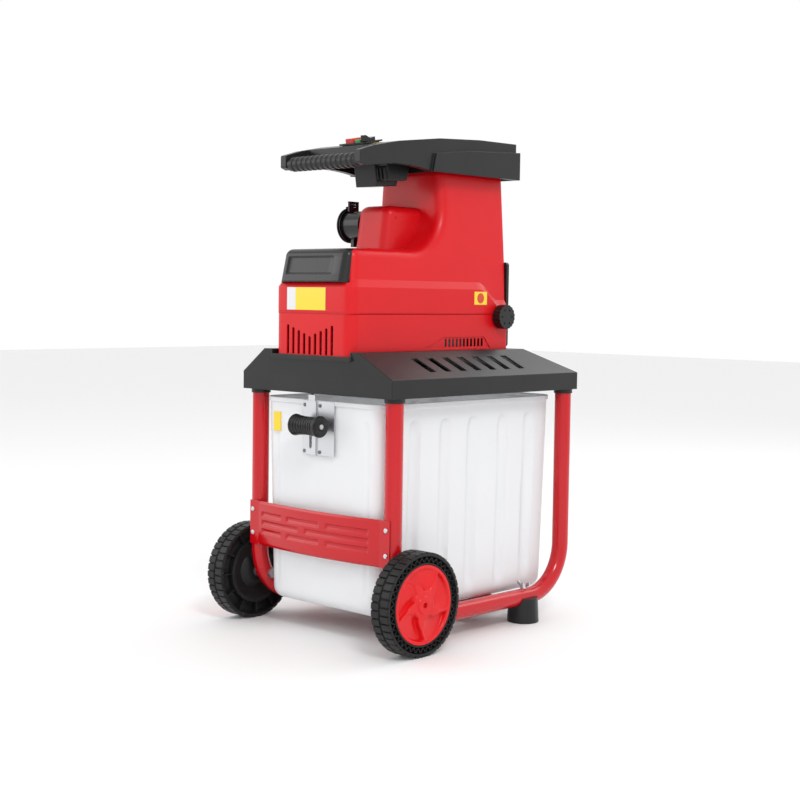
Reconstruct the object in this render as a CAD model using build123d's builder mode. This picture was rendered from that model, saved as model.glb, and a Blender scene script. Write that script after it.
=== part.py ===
from build123d import *
import math
import os

# Electric roller wood chipper on a two-wheeled tube frame with a pull-out catch bin.
# Millimetres. +Z is up. The wheels, the handle and the motor are at the -Y end, the feet are at
# the +Y end, and the bin pulls out towards +Y. The adjusting knob is on the +X side.
# The origin is on the ground, under the middle of the outline.

os.makedirs("parts", exist_ok=True)

# ---------------------------------------------------------------- driving dimensions
# Tube frame
tube_d = 32.0            # outside diameter of the frame tube
tube_wall = 1.5
track = 353.5            # between the centres of the two side frames
wheelbase = 483.0        # between the centres of the front and rear legs
tube_z = 48.0            # height of the lower tube's centre
bend_radius = 95.0       # centreline radius of the tube bends
tube_joint = 114.5       # the joint between front and rear tube, behind the frame's middle
spigot_length = 45.0     # swaged end of the rear tube, inside the front tube

# Wheels and feet
wheel_d = 184.0
wheel_width = 41.0
wheel_gap = 6.5          # between the tube's side and the wheel
hub_cap_d = 140.0
axle_d = 12.0
foot_base_d = 62.0
foot_top_d = 57.0
foot_joint_gap = 13.0    # from the tube joint back to the foot's middle

# Base cover
cover_width = 393.0
cover_front = 269.0      # skirt, in front of the frame's middle
deck_front = 280.0       # the front wall leans forward to here at deck height
cover_rear = 261.0       # behind the frame's middle
skirt_z = 448.5
eave_z = 481.6
deck_z = 527.0
deck_width = 249.0
hip_start = 178.5        # where the rear slope starts, behind the frame's middle
cover_wall = 3.0
socket_drop = 8.0        # how far the leg sockets hang below the skirt
pocket_depth = 13.0      # sunk seat for the housing in the deck

# Housing
seam_z = 593.0           # joint between lower and upper housing
housing_width = 202.0    # at the seam
housing_front = 277.0    # in front of the frame's middle
housing_rear = 157.5     # behind the frame's middle
housing_wall = 3.0
housing_corner = 20.0    # vertical corner radius at the motor end
band_z = 642.0           # where the wide lower body steps in
band_height = 15.0
band_step = 7.0
motor_top_z = 713.0      # top of the motor bay
chute_width = 160.0      # at the top of the chute
chute_front = 24.0       # in front of the frame's middle
chute_top_z = 866.0
chute_sweep = 82.0       # radius of the hollow between the motor bay and the chute

# Hopper
hopper_width = 208.0
hopper_rear = 170.0      # behind the frame's middle
hopper_low_z = 858.0
hopper_high_z = 928.0
skirt_out = 6.0          # how far the outer skirt stands out
hopper_wall = 3.0
throat_z = 848.0         # lower end of the feed throat
grip_y_front = 257.0     # handle bar axis, in front of the frame's middle
grip_z = 867.0
grip_d = 27.0
arm_width = 14.0

# Catch bin
bin_top_z = 436.0
bin_floor_z = 52.0
bin_width = 312.0        # across the walls at the top
bin_front = 254.0        # in front of the frame's middle, at the top
bin_rear = 238.0         # behind the frame's middle, at the top
bin_draft = 7.0          # how much each wall leans in over its height
bin_wall = 2.5
bin_corner = 34.0
rim_out = 3.0
rim_height = 9.0

# Cutting unit
roller_d = 72.0
roller_length = 140.0
roller_x = -20.0
roller_z = 616.0
roller_shaft_d = 20.0
frame_plate = 9.0        # end walls of the cutter frame
gear_ratio_teeth = 75    # large gear
pinion_teeth = 9
gear_module = 1.25
motor_x = 0.0
motor_z = 624.0
motor_d = 116.0
rotor_d = 65.0
motor_shaft_d = 12.0
knob_z = 590.0
knob_behind = 131.5      # knob axis, behind the frame's middle
knob_d = 47.0
screw_d = 10.0
plate_travel = 5.0

# Clearances
run_fit = 0.05           # radial, shaft in bore
loose_fit = 0.3          # between parts that lie face to face on curves
slide_gap = 0.5          # between sliding parts and the frame

# ---------------------------------------------------------------- derived places
tube_r = tube_d / 2
wheel_r = wheel_d / 2
tube_x = track / 2
# The axle crosses the centreline of the front bend at the height of the wheel's centre.
axle_rise = 1 - (wheel_r - tube_z) / bend_radius
axle_back = bend_radius * (1 - math.sqrt(1 - axle_rise**2))
mid_y = -(-wheelbase / 2 + axle_back - wheel_r + cover_rear) / 2   # frame's middle
leg_front_y = mid_y - wheelbase / 2
leg_rear_y = mid_y + wheelbase / 2
axle_y = leg_front_y + axle_back
tube_joint_y = mid_y + tube_joint
foot_y = tube_joint_y + foot_joint_gap
wheel_in_x = tube_x + tube_r + wheel_gap
wheel_out_x = wheel_in_x + wheel_width
leg_top_z = eave_z - 8.0
cover_front_y = mid_y - cover_front
deck_front_y = mid_y - deck_front
cover_rear_y = mid_y + cover_rear
pocket_z = deck_z - pocket_depth
front_y = mid_y - housing_front
rear_y = mid_y + housing_rear
chute_front_y = mid_y - chute_front
roller_front_y = mid_y
roller_back_y = roller_front_y + roller_length
gear_r = gear_module * gear_ratio_teeth / 2
pinion_r = gear_module * pinion_teeth / 2
gear_span = gear_r + pinion_r + loose_fit
sides = (("left", -1), ("right", 1))


def ring(outer_r, inner_r):
    """A flat ring in the current sketch."""
    Circle(outer_r)
    Circle(inner_r, mode=Mode.SUBTRACT)


# ---------------------------------------------------------------- frame tubes
for side, sign in sides:
    with BuildPart() as front_tube:
        with BuildLine():
            path = FilletPolyline(
                (sign * tube_x, leg_front_y, leg_top_z),
                (sign * tube_x, leg_front_y, tube_z),
                (sign * tube_x, tube_joint_y, tube_z),
                radius=bend_radius,
            )
        with BuildSketch(Plane(origin=path @ 0, z_dir=path % 0)):
            ring(tube_r, tube_r - tube_wall)
        sweep()
        with Locations(Location((sign * tube_x, axle_y, wheel_r), (0, 90, 0))):
            Hole(axle_d / 2 + run_fit)
        with Locations((sign * tube_x, foot_y, tube_z)):
            Hole(4.2)
    front_tube.part.label = f"frame_tube_front_{side}"
    export_step(front_tube.part, f"parts/frame_tube_front_{side}.step")

    with BuildPart() as rear_tube:
        with BuildLine():
            rear_path = FilletPolyline(
                (sign * tube_x, tube_joint_y, tube_z),
                (sign * tube_x, leg_rear_y, tube_z),
                (sign * tube_x, leg_rear_y, leg_top_z),
                radius=bend_radius,
            )
        with BuildSketch(Plane(origin=rear_path @ 0, z_dir=rear_path % 0)):
            ring(tube_r, tube_r - tube_wall)
        sweep()
        spigot_r = tube_r - tube_wall - run_fit
        with BuildSketch(Plane.XZ.offset(-tube_joint_y)):
            with Locations((sign * tube_x, tube_z)):
                ring(spigot_r, spigot_r - tube_wall)
        extrude(amount=spigot_length)
        with BuildSketch(Plane.XZ.offset(-tube_joint_y)):
            with Locations((sign * tube_x, tube_z)):
                ring(tube_r - tube_wall / 2, spigot_r - tube_wall)
        extrude(amount=-4)
        with Locations((sign * tube_x, foot_y, tube_z)):
            Hole(4.2)
    rear_tube.part.label = f"frame_tube_rear_{side}"
    export_step(rear_tube.part, f"parts/frame_tube_rear_{side}.step")

# ---------------------------------------------------------------- guard plate between the front legs
guard_low_z = 151.0
guard_height = 84.0
guard_sheet = 1.5
guard_bow = 13.0                                   # how far the middle bulges forward
guard_flat_x = tube_x - tube_r                      # the bowed part ends beside the tubes
guard_end_x = tube_x + 7.0
guard_back_y = leg_front_y - tube_r - loose_fit     # rear face of the flat ends
bow_r = (guard_flat_x**2 + guard_bow**2) / (2 * guard_bow)
guard_screw_z = (guard_low_z + 22, guard_low_z + guard_height - 17)
guard_slot_rows = (
    (0.24, ((-148, -90), (-69, 15), (38, 133))),
    (0.43, ((-147, -41), (-17, 133))),
    (0.62, ((-148, -90), (-69, 15), (38, 133))),
)
with BuildPart() as guard_plate:
    with BuildSketch(Plane.XY.offset(guard_low_z)):
        with Locations((0, guard_back_y - guard_bow + bow_r)):
            ring(bow_r + guard_sheet, bow_r)
        with Locations((0, guard_back_y - guard_bow)):
            Rectangle(2 * guard_flat_x, 4 * guard_bow, mode=Mode.INTERSECT)
        for _, sign in sides:
            with Locations((sign * (guard_flat_x + guard_end_x) / 2, guard_back_y - guard_sheet / 2)):
                Rectangle(guard_end_x - guard_flat_x + 2 * guard_sheet, guard_sheet)
    extrude(amount=guard_height)
    for share, spans in guard_slot_rows:
        for low_x, high_x in spans:
            with BuildSketch(Plane.XZ.offset(-guard_back_y + guard_bow + 20)):
                with Locations(((low_x + high_x) / 2, guard_low_z + share * guard_height)):
                    SlotOverall(high_x - low_x, 6.0)
            extrude(amount=-40, mode=Mode.SUBTRACT)
    for _, sign in sides:
        for hole_z in guard_screw_z:
            with Locations(Location((sign * tube_x, guard_back_y, hole_z), (90, 0, 0))):
                Hole(2.6, depth=10)
guard_plate.part.label = "guard_plate"
export_step(guard_plate.part, "parts/guard_plate.step")

guard_head_y = guard_back_y - guard_sheet
with BuildPart() as guard_screws:
    for _, sign in sides:
        for hole_z in guard_screw_z:
            with BuildSketch(Plane.XZ.offset(-guard_head_y)):
                with Locations((sign * tube_x, hole_z)):
                    Circle(4.5)
            extrude(amount=2.4)
    fillet(guard_screws.edges().filter_by(GeomType.CIRCLE).group_by(Axis.Y)[0], radius=1.5)
    for _, sign in sides:
        for hole_z in guard_screw_z:
            with BuildSketch(Plane.XZ.offset(-guard_head_y)):
                with Locations((sign * tube_x, hole_z)):
                    Circle(2.5)
            extrude(amount=-guard_sheet)
guard_screws.part.label = "guard_screws"
export_step(guard_screws.part, "parts/guard_screws.step")

# ---------------------------------------------------------------- cross plates under the bin
cross_sheet = 2.0
cross_width = 74.0
cross_flange = 15.0
cross_top_z = bin_floor_z - slide_gap
cross_half = tube_x - tube_r - loose_fit
cross_screw_z = cross_top_z - cross_sheet - 6.5
cross_screw_step = 44.0
cross_places = (mid_y - 130.0, mid_y + 48.0)
with BuildPart() as cross_plates:
    for cross_y in cross_places:
        with BuildSketch(Plane.XY.offset(cross_top_z - cross_sheet)):
            with Locations((0, cross_y)):
                Rectangle(2 * cross_half, cross_width)
                with GridLocations(cross_half / 2, cross_width / 3, 3, 2):
                    SlotOverall(cross_half / 2.4, 9, mode=Mode.SUBTRACT)
        extrude(amount=cross_sheet)
        for end in (-1, 1):                        # long flanges, turned down between the tubes
            with Locations((0, cross_y + end * (cross_width - cross_sheet) / 2, cross_top_z)):
                Box(2 * cross_half - 30, cross_sheet, cross_flange,
                    align=(Align.CENTER, Align.CENTER, Align.MAX))
            with Locations((end * (cross_half - cross_sheet / 2), cross_y, cross_top_z)):
                Box(cross_sheet, cross_width, cross_flange, align=(Align.CENTER, Align.CENTER, Align.MAX))
        for end in (-1, 1):
            with Locations(Location((0, cross_y + end * cross_screw_step / 2, cross_screw_z), (0, 90, 0))):
                Cylinder(3.1, 2 * cross_half + 10, mode=Mode.SUBTRACT)
cross_plates.part.label = "cross_plates"
export_step(cross_plates.part, "parts/cross_plates.step")

with BuildPart() as cross_screws:
    for cross_y in cross_places:
        for _, sign in sides:
            for end in (-1, 1):
                screw_plane = Plane(
                    origin=(sign * (cross_half - cross_sheet), cross_y + end * cross_screw_step / 2,
                            cross_screw_z),
                    x_dir=(0, 1, 0),
                    z_dir=(-sign, 0, 0),
                )
                with BuildSketch(screw_plane):
                    Circle(5.5)
                extrude(amount=3.2)
                with BuildSketch(screw_plane):
                    Circle(3.0)
                extrude(amount=-cross_sheet)
cross_screws.part.label = "cross_plate_screws"
export_step(cross_screws.part, "parts/cross_plate_screws.step")

# ---------------------------------------------------------------- wheels, hub caps and stub axles
hub_r = 17.0
dish_depth = 9.0                                   # recess of the outer face, behind the hub cap
hub_cap_thick = 6.0
cap_recess = hub_cap_thick + 2.0
axle_nut_high = 10.0
for side, sign in sides:
    wheel_plane = Plane(origin=(sign * wheel_in_x, axle_y, wheel_r), x_dir=(0, 1, 0), z_dir=(sign, 0, 0))
    with BuildPart() as wheel:
        with BuildSketch(wheel_plane):
            Circle(wheel_r)
        extrude(amount=wheel_width)
        fillet(wheel.edges().filter_by(GeomType.CIRCLE), radius=4)
        with BuildSketch(wheel_plane.offset(wheel_width)):
            Circle(hub_cap_d / 2 + loose_fit)
        extrude(amount=-cap_recess, mode=Mode.SUBTRACT)
        with BuildSketch(wheel_plane.offset(wheel_width)):
            ring(wheel_r - 7, hub_cap_d / 2 + 3.5)
        extrude(amount=-5, mode=Mode.SUBTRACT)
        with BuildSketch(wheel_plane.offset(wheel_width - cap_recess)):
            ring(hub_cap_d / 2 - 8, hub_r)
        extrude(amount=-10, mode=Mode.SUBTRACT)
        with BuildSketch(wheel_plane):
            ring(wheel_r - 10, wheel_r - 28)
        extrude(amount=14, mode=Mode.SUBTRACT)
        with BuildSketch(wheel_plane):
            ring(wheel_r - 31, hub_r + 1)
        extrude(amount=8, mode=Mode.SUBTRACT)
        with BuildSketch(wheel_plane):             # ribs across the inner ring
            with PolarLocations(wheel_r - 19, 12):
                Rectangle(20, 2.5)
        extrude(amount=14)
        with BuildSketch(wheel_plane):
            Circle(axle_d / 2 + run_fit)
        extrude(amount=wheel_width, mode=Mode.SUBTRACT)
        with BuildSketch(wheel_plane.offset(wheel_width - cap_recess)):
            Circle(13)
        extrude(amount=-axle_nut_high, mode=Mode.SUBTRACT)
    wheel.part.label = f"wheel_{side}"
    export_step(wheel.part, f"parts/wheel_{side}.step")

    with BuildPart() as hub_cap:
        with BuildSketch(wheel_plane.offset(wheel_width - cap_recess)):
            Circle(hub_cap_d / 2)
        extrude(amount=hub_cap_thick)
        with BuildSketch(wheel_plane.offset(wheel_width - cap_recess + hub_cap_thick)):
            with PolarLocations(hub_cap_d / 2 - 24, 5):
                Ellipse(17, 13)
        extrude(amount=-3, mode=Mode.SUBTRACT)
        with BuildSketch(wheel_plane.offset(wheel_width - cap_recess + hub_cap_thick)):
            Circle(15)
        extrude(amount=1.5)
    hub_cap.part.label = f"hub_cap_{side}"
    export_step(hub_cap.part, f"parts/hub_cap_{side}.step")

axle_head_high = 7.0
nut_in_x = wheel_out_x - cap_recess - axle_nut_high + 1.0
with BuildPart() as axle_bolts:
    for _, sign in sides:
        head_x = tube_x - tube_r
        with BuildSketch(Plane(origin=(sign * head_x, axle_y, wheel_r), x_dir=(0, 1, 0), z_dir=(sign, 0, 0))):
            Circle(axle_d / 2)
        extrude(amount=nut_in_x + 7.0 - head_x)
        with BuildSketch(Plane(origin=(sign * head_x, axle_y, wheel_r), x_dir=(0, 1, 0), z_dir=(-sign, 0, 0))):
            RegularPolygon(axle_d * 0.82, 6)
        extrude(amount=axle_head_high)
axle_bolts.part.label = "axle_bolts"
export_step(axle_bolts.part, "parts/axle_bolts.step")

with BuildPart() as axle_spacers:
    for _, sign in sides:
        gap_plane = Plane(origin=(sign * (tube_x + tube_r + loose_fit), axle_y, wheel_r), x_dir=(0, 1, 0),
                          z_dir=(sign, 0, 0))
        with BuildSketch(gap_plane):
            ring(12.0, axle_d / 2 + run_fit)
        extrude(amount=wheel_gap - 2 * loose_fit)
axle_spacers.part.label = "axle_spacers"
export_step(axle_spacers.part, "parts/axle_spacers.step")

with BuildPart() as axle_nuts:
    for _, sign in sides:
        nut_plane = Plane(origin=(sign * nut_in_x, axle_y, wheel_r), x_dir=(0, 1, 0), z_dir=(sign, 0, 0))
        with BuildSketch(nut_plane):
            RegularPolygon(axle_d * 0.85, 6)
            Circle(axle_d / 2, mode=Mode.SUBTRACT)
        extrude(amount=7.0)
axle_nuts.part.label = "axle_nuts"
export_step(axle_nuts.part, "parts/axle_nuts.step")

# ---------------------------------------------------------------- feet under the tube joints
foot_bolt_d = 8.0
wing_z = tube_z + tube_r
with BuildPart() as feet:
    for _, sign in sides:
        with BuildSketch(Plane.XY):
            with Locations((sign * tube_x, foot_y)):
                Circle(foot_base_d / 2)
        with BuildSketch(Plane.XY.offset(tube_z)):
            with Locations((sign * tube_x, foot_y)):
                Circle(foot_top_d / 2)
        loft()
    fillet(feet.edges().filter_by(GeomType.CIRCLE).group_by(Axis.Z)[0], radius=2)
    for _, sign in sides:
        with Locations(Location((sign * tube_x, foot_y, tube_z), (90, 0, 0))):
            Cylinder(tube_r + loose_fit, foot_base_d + 10, mode=Mode.SUBTRACT)
        with Locations((sign * tube_x, foot_y, 0)):
            Cylinder(foot_base_d / 2 - 8, 6, align=(Align.CENTER, Align.CENTER, Align.MIN), mode=Mode.SUBTRACT)
            Cylinder(9, 14, align=(Align.CENTER, Align.CENTER, Align.MIN), mode=Mode.SUBTRACT)
            Cylinder(foot_bolt_d / 2 + 0.2, 40, align=(Align.CENTER, Align.CENTER, Align.MIN), mode=Mode.SUBTRACT)
feet.part.label = "feet"
export_step(feet.part, "parts/feet.step")

with BuildPart() as foot_bolts:
    for _, sign in sides:
        with Locations((sign * tube_x, foot_y, 14)):
            Cylinder(7.0, 5, align=(Align.CENTER, Align.CENTER, Align.MAX))
            Cylinder(foot_bolt_d / 2, wing_z + 12 - 14, align=(Align.CENTER, Align.CENTER, Align.MIN))
foot_bolts.part.label = "foot_bolts"
export_step(foot_bolts.part, "parts/foot_bolts.step")

with BuildPart() as wing_nuts:
    for _, sign in sides:
        with Locations((sign * tube_x, foot_y, wing_z + 0.4)):
            Cylinder(6.5, 8, align=(Align.CENTER, Align.CENTER, Align.MIN))
        for wing in (-1, 1):
            with BuildSketch(Plane.XZ.offset(-foot_y - 1.5)):
                with BuildLine():
                    Polyline(
                        (sign * tube_x + wing * 4.5, wing_z + 1.4),
                        (sign * tube_x + wing * 15.0, wing_z + 8.0),
                        (sign * tube_x + wing * 14.0, wing_z + 15.0),
                        (sign * tube_x + wing * 4.5, wing_z + 8.0),
                        close=True,
                    )
                make_face()
            extrude(amount=3.0)
        with Locations((sign * tube_x, foot_y, wing_z)):
            Cylinder(foot_bolt_d / 2, 30, align=(Align.CENTER, Align.CENTER, Align.MIN), mode=Mode.SUBTRACT)
wing_nuts.part.label = "wing_nuts"
export_step(wing_nuts.part, "parts/wing_nuts.step")

# ---------------------------------------------------------------- base cover
cover_half = cover_width / 2
deck_half = deck_width / 2
slope_run = cover_half - deck_half
slope_rise = deck_z - eave_z
socket_r = tube_r + 2.3
roof_slots = 7
roof_slot_pitch = 42.0
roof_slot_length = 44.0
roof_slot_width = 17.0
roof_slot_lean = 7.0
discharge_half_x = 68.0
discharge_front_y = roller_front_y - 4.0
discharge_back_y = roller_back_y + 4.0
pocket_half = housing_width / 2 + band_step / 4
legs = [(sign * tube_x, y) for _, sign in sides for y in (leg_front_y, leg_rear_y)]

with BuildPart() as base_cover:
    with BuildSketch(Plane.XZ.offset(-deck_front_y)):
        with BuildLine():
            Polyline(
                (-cover_half, skirt_z), (cover_half, skirt_z), (cover_half, eave_z),
                (deck_half, deck_z), (-deck_half, deck_z), (-cover_half, eave_z), close=True,
            )
        make_face()
    extrude(amount=-(cover_rear + deck_front))
    with BuildSketch(Plane.YZ.offset(-cover_half)):
        with BuildLine():
            Polyline((mid_y + hip_start, deck_z), (cover_rear_y, eave_z), (cover_rear_y, deck_z), close=True)
        make_face()
        with BuildLine():
            Polyline(
                (cover_front_y, skirt_z), (cover_front_y, eave_z), (deck_front_y, deck_z),
                (deck_front_y, skirt_z), close=True,
            )
        make_face()
    extrude(amount=cover_width, mode=Mode.SUBTRACT)
    offset(amount=-cover_wall, openings=base_cover.faces().sort_by(Axis.Z)[0])
    with BuildSketch(Plane.XY.offset(pocket_z - cover_wall)):                    # sunk seat for the housing
        with Locations((0, (front_y + rear_y + slide_gap) / 2)):
            Rectangle(2 * (pocket_half + cover_wall), rear_y + slide_gap - front_y + 2 * cover_wall)
    extrude(amount=pocket_depth + cover_wall)
    with BuildSketch(Plane.XY.offset(pocket_z)):
        with Locations((0, (deck_front_y - 10 + rear_y + slide_gap) / 2)):
            Rectangle(2 * pocket_half, rear_y + slide_gap - deck_front_y + 10)
    extrude(amount=pocket_depth, mode=Mode.SUBTRACT)
    with BuildSketch(Plane.XY.offset(pocket_z - 2 * cover_wall)):
        with Locations((0, (discharge_front_y + discharge_back_y) / 2)):
            Rectangle(2 * discharge_half_x, discharge_back_y - discharge_front_y)
    extrude(amount=3 * cover_wall, mode=Mode.SUBTRACT)
    for _, sign in sides:                          # slanted slots in both roof slopes
        slope_plane = Plane(
            origin=(sign * (cover_half + deck_half) / 2, mid_y - 26.0, (deck_z + eave_z) / 2),
            x_dir=(0, 1, 0),
            z_dir=(slope_rise * sign, 0, slope_run),
        )
        with BuildSketch(slope_plane):
            with GridLocations(roof_slot_pitch, 1, roof_slots, 1):
                Polygon(
                    (-roof_slot_width / 2 - sign * roof_slot_lean, roof_slot_length / 2),
                    (roof_slot_width / 2 - sign * roof_slot_lean, roof_slot_length / 2),
                    (roof_slot_width / 2 + sign * roof_slot_lean, -roof_slot_length / 2),
                    (-roof_slot_width / 2 + sign * roof_slot_lean, -roof_slot_length / 2),
                )
        extrude(amount=-2 * cover_wall, mode=Mode.SUBTRACT)
    with BuildSketch(Plane.XY.offset(skirt_z - socket_drop)):
        with Locations(*legs):
            Circle(socket_r)
    extrude(amount=leg_top_z + 2 - skirt_z + socket_drop)
    with BuildSketch(Plane.XY.offset(skirt_z - socket_drop)):
        with Locations(*legs):
            Circle(tube_r + run_fit)
    extrude(amount=leg_top_z + 0.5 - skirt_z + socket_drop, mode=Mode.SUBTRACT)
    with Locations((0, front_y - slide_gap, pocket_z)):                          # bead along the front of the seat
        Box(2 * pocket_half, 3.0, 9.0, align=(Align.CENTER, Align.MAX, Align.CENTER))
base_cover.part.label = "base_cover"
export_step(base_cover.part, "parts/base_cover.step")

socket_screw_z = skirt_z + 8.0
with BuildPart() as leg_screws:
    for leg_x, leg_y in legs:
        inward = -math.copysign(1, leg_x)
        with BuildSketch(Plane(origin=(leg_x + inward * socket_r, leg_y, socket_screw_z), x_dir=(0, 1, 0),
                               z_dir=(inward, 0, 0))):
            Circle(4.2)
        extrude(amount=2.6)
leg_screws.part.label = "leg_screws"
export_step(leg_screws.part, "parts/leg_screws.step")

# ---------------------------------------------------------------- catch bin
bin_height = bin_top_z - bin_floor_z
bin_mid_y = mid_y + (bin_rear - bin_front) / 2
bin_depth = bin_front + bin_rear
bin_front_y = mid_y - bin_front
latch_half = 41.5
latch_low_z = 335.0
latch_high_z = 434.0
pad_out = 2.0                                      # flat pad under the latch plate
bin_bottom_round = 22.0


def bin_block(inset, low_z, high_z):
    """The bin's tapered block between two heights, with every wall moved in by inset."""
    with BuildPart() as block:
        for height in (low_z, high_z):
            lean = bin_draft * (bin_top_z - height) / bin_height + inset
            with BuildSketch(Plane.XY.offset(height)):
                with Locations((0, bin_mid_y)):
                    RectangleRounded(bin_width - 2 * lean, bin_depth - 2 * lean, bin_corner - inset)
        loft()
        fillet(block.edges().group_by(Axis.Z)[0], radius=bin_bottom_round - inset)
    return block.part


bin_outer = bin_block(0, bin_floor_z, bin_top_z)
bin_inner = bin_block(bin_wall, bin_floor_z + bin_wall, bin_top_z + bin_wall)
with BuildPart() as catch_bin:
    add(bin_outer)
    with Locations((0, bin_front_y - pad_out, latch_low_z - 6)):
        Box(2 * latch_half + 8, pad_out + 12, bin_top_z - latch_low_z + 6,
            align=(Align.CENTER, Align.MIN, Align.MIN))
    with BuildSketch(Plane.XY.offset(bin_top_z - rim_height)):
        with Locations((0, bin_mid_y)):
            RectangleRounded(bin_width + 2 * rim_out, bin_depth + 2 * rim_out, bin_corner + rim_out)
        with Locations((0, bin_front_y - rim_out)):
            Rectangle(2 * latch_half + 8, 2 * rim_out, mode=Mode.SUBTRACT)
    extrude(amount=rim_height)
    add(bin_inner, mode=Mode.SUBTRACT)
catch_bin.part.label = "catch_bin"
export_step(catch_bin.part, "parts/catch_bin.step")

# ---------------------------------------------------------------- bin latch: plate, tongue, grip
pad_y = bin_front_y - pad_out
latch_sheet = 1.5
channel_out = 3.0                                  # raised channel for the tongue
channel_x = -17.0
channel_half = 13.0
latch_slot_low = 347.0
latch_slot_high = 402.0
latch_drop = 32.0                                  # travel of the latch, downwards
stem_half_high = 7.0
stem_half_wide = 3.0
grip_axis_z = latch_slot_high - slide_gap - stem_half_high - stem_half_wide
grip_axis_y = pad_y - 32.0
latch_grip_half = 34.0
latch_grip_mid_x = 5.0
rod_r = 4.0
plate_front_y = pad_y - channel_out - latch_sheet
with BuildPart() as latch_plate:
    with Locations((0, pad_y, (latch_low_z + latch_high_z) / 2)):
        Box(2 * latch_half, latch_sheet, latch_high_z - latch_low_z, align=(Align.CENTER, Align.MAX, Align.CENTER))
    with Locations((channel_x, pad_y, (latch_low_z + latch_high_z) / 2)):
        Box(2 * channel_half, channel_out + latch_sheet, latch_high_z - latch_low_z,
            align=(Align.CENTER, Align.MAX, Align.CENTER))
        Box(2 * channel_half - 2 * latch_sheet, channel_out, latch_high_z - latch_low_z,
            align=(Align.CENTER, Align.MAX, Align.CENTER), mode=Mode.SUBTRACT)
    with BuildSketch(Plane.XZ.offset(-pad_y)):
        with Locations((channel_x, (latch_slot_low + latch_slot_high) / 2)):
            SlotOverall(latch_slot_high - latch_slot_low, 2 * stem_half_wide + 1, rotation=90)
    extrude(amount=channel_out + 2 * latch_sheet, mode=Mode.SUBTRACT)
    rivet_spots = [(channel_x + dx, z) for dx in (-19.0, 21.0) for z in (latch_low_z + 6, latch_high_z - 8)]
    for rivet_x, rivet_z in rivet_spots:
        with Locations(Location((rivet_x, pad_y, rivet_z), (90, 0, 0))):
            Cylinder(2.0, 20, mode=Mode.SUBTRACT)
latch_plate.part.label = "latch_plate"
export_step(latch_plate.part, "parts/latch_plate.step")

with BuildPart() as latch_rivets:
    for rivet_x, rivet_z in rivet_spots:
        with Locations(Location((rivet_x, pad_y - latch_sheet, rivet_z), (90, 0, 0))):
            Cylinder(3.4, 1.2, align=(Align.CENTER, Align.CENTER, Align.MIN))
            Cylinder(1.9, latch_sheet, align=(Align.CENTER, Align.CENTER, Align.MAX))
latch_rivets.part.label = "latch_rivets"
export_step(latch_rivets.part, "parts/latch_rivets.step")

tongue_top_z = skirt_z - 3.5
tongue_thick = 2.0
tongue_mid_y = pad_y - channel_out / 2
with BuildPart() as latch_tongue:
    with Locations((channel_x, tongue_mid_y, grip_axis_z - 12)):
        Box(18, tongue_thick, tongue_top_z - grip_axis_z + 12, align=(Align.CENTER, Align.CENTER, Align.MIN))
    with Locations((channel_x, tongue_mid_y, grip_axis_z)):
        Box(2 * stem_half_wide, tongue_mid_y - grip_axis_y, 2 * stem_half_high,
            align=(Align.CENTER, Align.MAX, Align.CENTER))
    with Locations(Location((latch_grip_mid_x, grip_axis_y, grip_axis_z), (0, 90, 0))):
        Cylinder(rod_r, 2 * latch_grip_half - 6)
latch_tongue.part.label = "latch_tongue"
export_step(latch_tongue.part, "parts/latch_tongue.step")

grip_end_r = 21.0
grip_waist_r = 17.5
with BuildPart() as latch_grip:
    with BuildSketch(Plane.XZ.offset(-grip_axis_y)):
        with BuildLine():
            Polyline(
                (latch_grip_mid_x - latch_grip_half, grip_axis_z),
                (latch_grip_mid_x - latch_grip_half, grip_axis_z + grip_end_r),
            )
            ThreePointArc(
                (latch_grip_mid_x - latch_grip_half, grip_axis_z + grip_end_r),
                (latch_grip_mid_x - 6, grip_axis_z + grip_waist_r),
                (latch_grip_mid_x + latch_grip_half, grip_axis_z + grip_end_r),
            )
            Polyline(
                (latch_grip_mid_x + latch_grip_half, grip_axis_z + grip_end_r),
                (latch_grip_mid_x + latch_grip_half, grip_axis_z),
                (latch_grip_mid_x - latch_grip_half, grip_axis_z),
            )
        make_face()
    revolve(axis=Axis((0, grip_axis_y, grip_axis_z), (1, 0, 0)))
    fillet(latch_grip.edges().filter_by(GeomType.CIRCLE), radius=2.5)
    with Locations(Location((latch_grip_mid_x, grip_axis_y, grip_axis_z), (0, 90, 0))):
        Cylinder(rod_r, 2 * latch_grip_half - 6, mode=Mode.SUBTRACT)
    with Locations((channel_x, grip_axis_y, grip_axis_z)):       # slot for the stem, open to the rear
        Box(2 * stem_half_wide, grip_end_r + 4, 2 * stem_half_high,
            align=(Align.CENTER, Align.MIN, Align.CENTER), mode=Mode.SUBTRACT)
    with Locations(Location((latch_grip_mid_x + latch_grip_half, grip_axis_y, grip_axis_z), (0, 90, 0))):
        Cylinder(2.5, 12, mode=Mode.SUBTRACT)
latch_grip.part.label = "latch_grip"
export_step(latch_grip.part, "parts/latch_grip.step")

with BuildPart() as latch_screw:
    with Locations(Location((latch_grip_mid_x + latch_grip_half, grip_axis_y, grip_axis_z), (0, 90, 0))):
        Cylinder(4.5, 2.2, align=(Align.CENTER, Align.CENTER, Align.MIN))
        Cylinder(2.5, 3, align=(Align.CENTER, Align.CENTER, Align.MAX))
latch_screw.part.label = "latch_grip_screw"
export_step(latch_screw.part, "parts/latch_grip_screw.step")

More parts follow.
